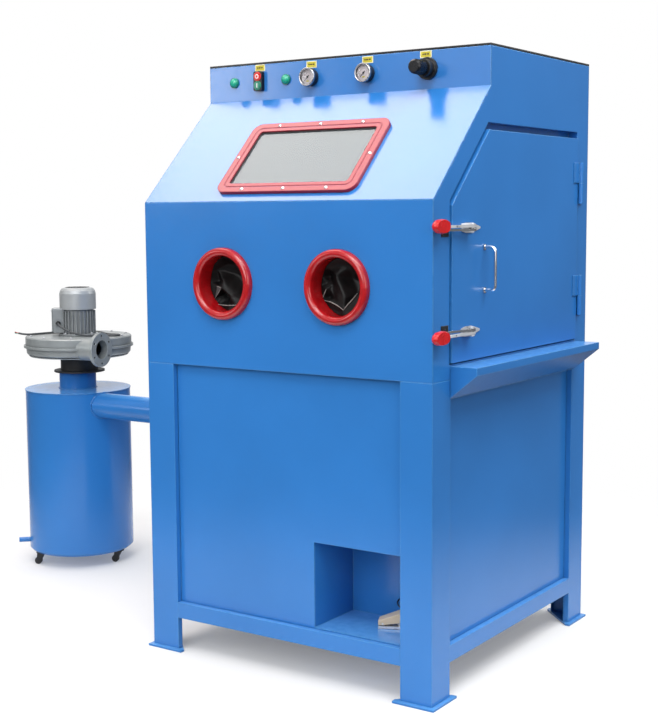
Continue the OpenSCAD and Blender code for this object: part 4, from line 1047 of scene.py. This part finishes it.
def floor():
    """Pale studio floor that fades to white."""
    shape = Shape(shift(0, 0, -0.4)).lathe([(radius, 0) for radius in range(5)], count=96)
    mesh = to_mesh(shape.bm, "floor")
    s = Shader("studio_floor", Roughness=0.9)
    s.feed("Specular IOR Level", 0.2)
    s.feed("Base Color", (0.78, 0.78, 0.78))
    away = s.add("ShaderNodeVectorMath", {0: s.place, 1: (0.5, 0.0, 0.0)}, operation="ADD")
    far = s.add("ShaderNodeVectorMath", {0: away.outputs[0]}, operation="LENGTH").outputs["Value"]
    glow = s.add("ShaderNodeEmission", {"Color": (1, 1, 1), "Strength": 1.0})
    lit = s.add("ShaderNodeMixShader", {0: FLOOR_GLOW, 1: s.surface.outputs[0], 2: glow.outputs[0]})
    gone = s.add("ShaderNodeBsdfTransparent")
    blend = s.add("ShaderNodeMixShader", {0: s.span(far, *FLOOR_FADE), 1: lit.outputs[0],
                                          2: gone.outputs[0]})
    s.tree.links.new(blend.outputs[0], s.tree.nodes["Material Output"].inputs["Surface"])
    mesh.materials.append(s.material)
    add_object("floor", mesh)


def softbox(name, at, target, width, height, radiance, tint):
    """Rectangular area light of a given brightness."""
    data = bpy.data.lights.new(name, "AREA")
    data.shape = "RECTANGLE"
    data.size, data.size_y = width, height
    data.energy = radiance * math.pi * width * height
    data.color = tint
    lamp = add_object(name, data)
    away = (Vector(at) - Vector(target)).normalized()
    lamp.matrix_world = Matrix.Translation(at) @ away.to_track_quat("Z", "Y").to_matrix().to_4x4()
    lamp.visible_camera = False


def world():
    """White behind the object; as light, a soft sky that is dim low down and bright at the back left."""
    made = bpy.data.worlds.new("studio")
    made.use_nodes = True
    tree = made.node_tree
    make, link = tree.nodes.new, tree.links.new
    lit = tree.nodes["Background"]
    seen = make("ShaderNodeBackground")
    seen.inputs["Color"].default_value = (1, 1, 1, 1)
    heading = make("ShaderNodeTexCoord").outputs["Generated"]
    split = make("ShaderNodeSeparateXYZ")
    link(heading, split.inputs[0])
    sky = make("ShaderNodeValToRGB")
    ramp = sky.color_ramp
    ramp.elements[0].position, ramp.elements[0].color = 0.42, (*SKY_BELOW, 1)
    ramp.elements[1].position, ramp.elements[1].color = 1.0, (*SKY_TOP, 1)
    low = ramp.elements.new(0.52)
    low.color = (*SKY_LOW, 1)
    lift = make("ShaderNodeMapRange")
    lift.inputs["From Min"].default_value = -1
    link(split.outputs["Z"], lift.inputs["Value"])
    link(lift.outputs[0], sky.inputs[0])
    toward = make("ShaderNodeVectorMath")
    toward.operation = "DOT_PRODUCT"
    toward.inputs[1].default_value = Vector((-0.70, 0.70, 0.13)).normalized()
    link(heading, toward.inputs[0])
    lobe = make("ShaderNodeMapRange")
    for key, value in (("From Min", 0.80), ("From Max", 0.96), ("To Max", BACK_LEFT)):
        lobe.inputs[key].default_value = value
    link(toward.outputs["Value"], lobe.inputs["Value"])
    total = make("ShaderNodeMixRGB")
    total.blend_type = "ADD"
    total.inputs[0].default_value = 1
    link(sky.outputs[0], total.inputs[1])
    link(lobe.outputs[0], total.inputs[2])
    link(total.outputs[0], lit.inputs["Color"])
    path = make("ShaderNodeLightPath")
    mix = make("ShaderNodeMixShader")
    link(path.outputs["Is Camera Ray"], mix.inputs[0])
    link(lit.outputs[0], mix.inputs[1])
    link(seen.outputs[0], mix.inputs[2])
    link(mix.outputs[0], tree.nodes["World Output"].inputs["Surface"])
    bpy.context.scene.world = made


# ---- the object ---------------------------------------------------------------

motor_lead()
valve_hose()
dress_nodes()
gauntlet("left_gauntlet", -1, LEFT_CORNERS, LEFT_FOLDS, LEFT_PALE, LEFT_EDGES)
gauntlet("right_gauntlet", 1, RIGHT_CORNERS, RIGHT_FOLDS, RIGHT_PALE, RIGHT_EDGES)
gauge("left")
gauge("right")
labels()
button_marks()
lamp_lenses()
drum_welds()
blower_bolts(middle("blower_impeller"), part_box("blower_motor")[0].z)
cowl_grille(middle("blower_impeller"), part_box("blower_motor")[1].z)
terminal_box(middle("blower_impeller"))
latch_rivets("upper", 1)
latch_rivets("lower", -1)

floor()
world()
for settings in SOFTBOXES:
    softbox(*settings)

bpy.context.scene.view_settings.view_transform = "Standard"
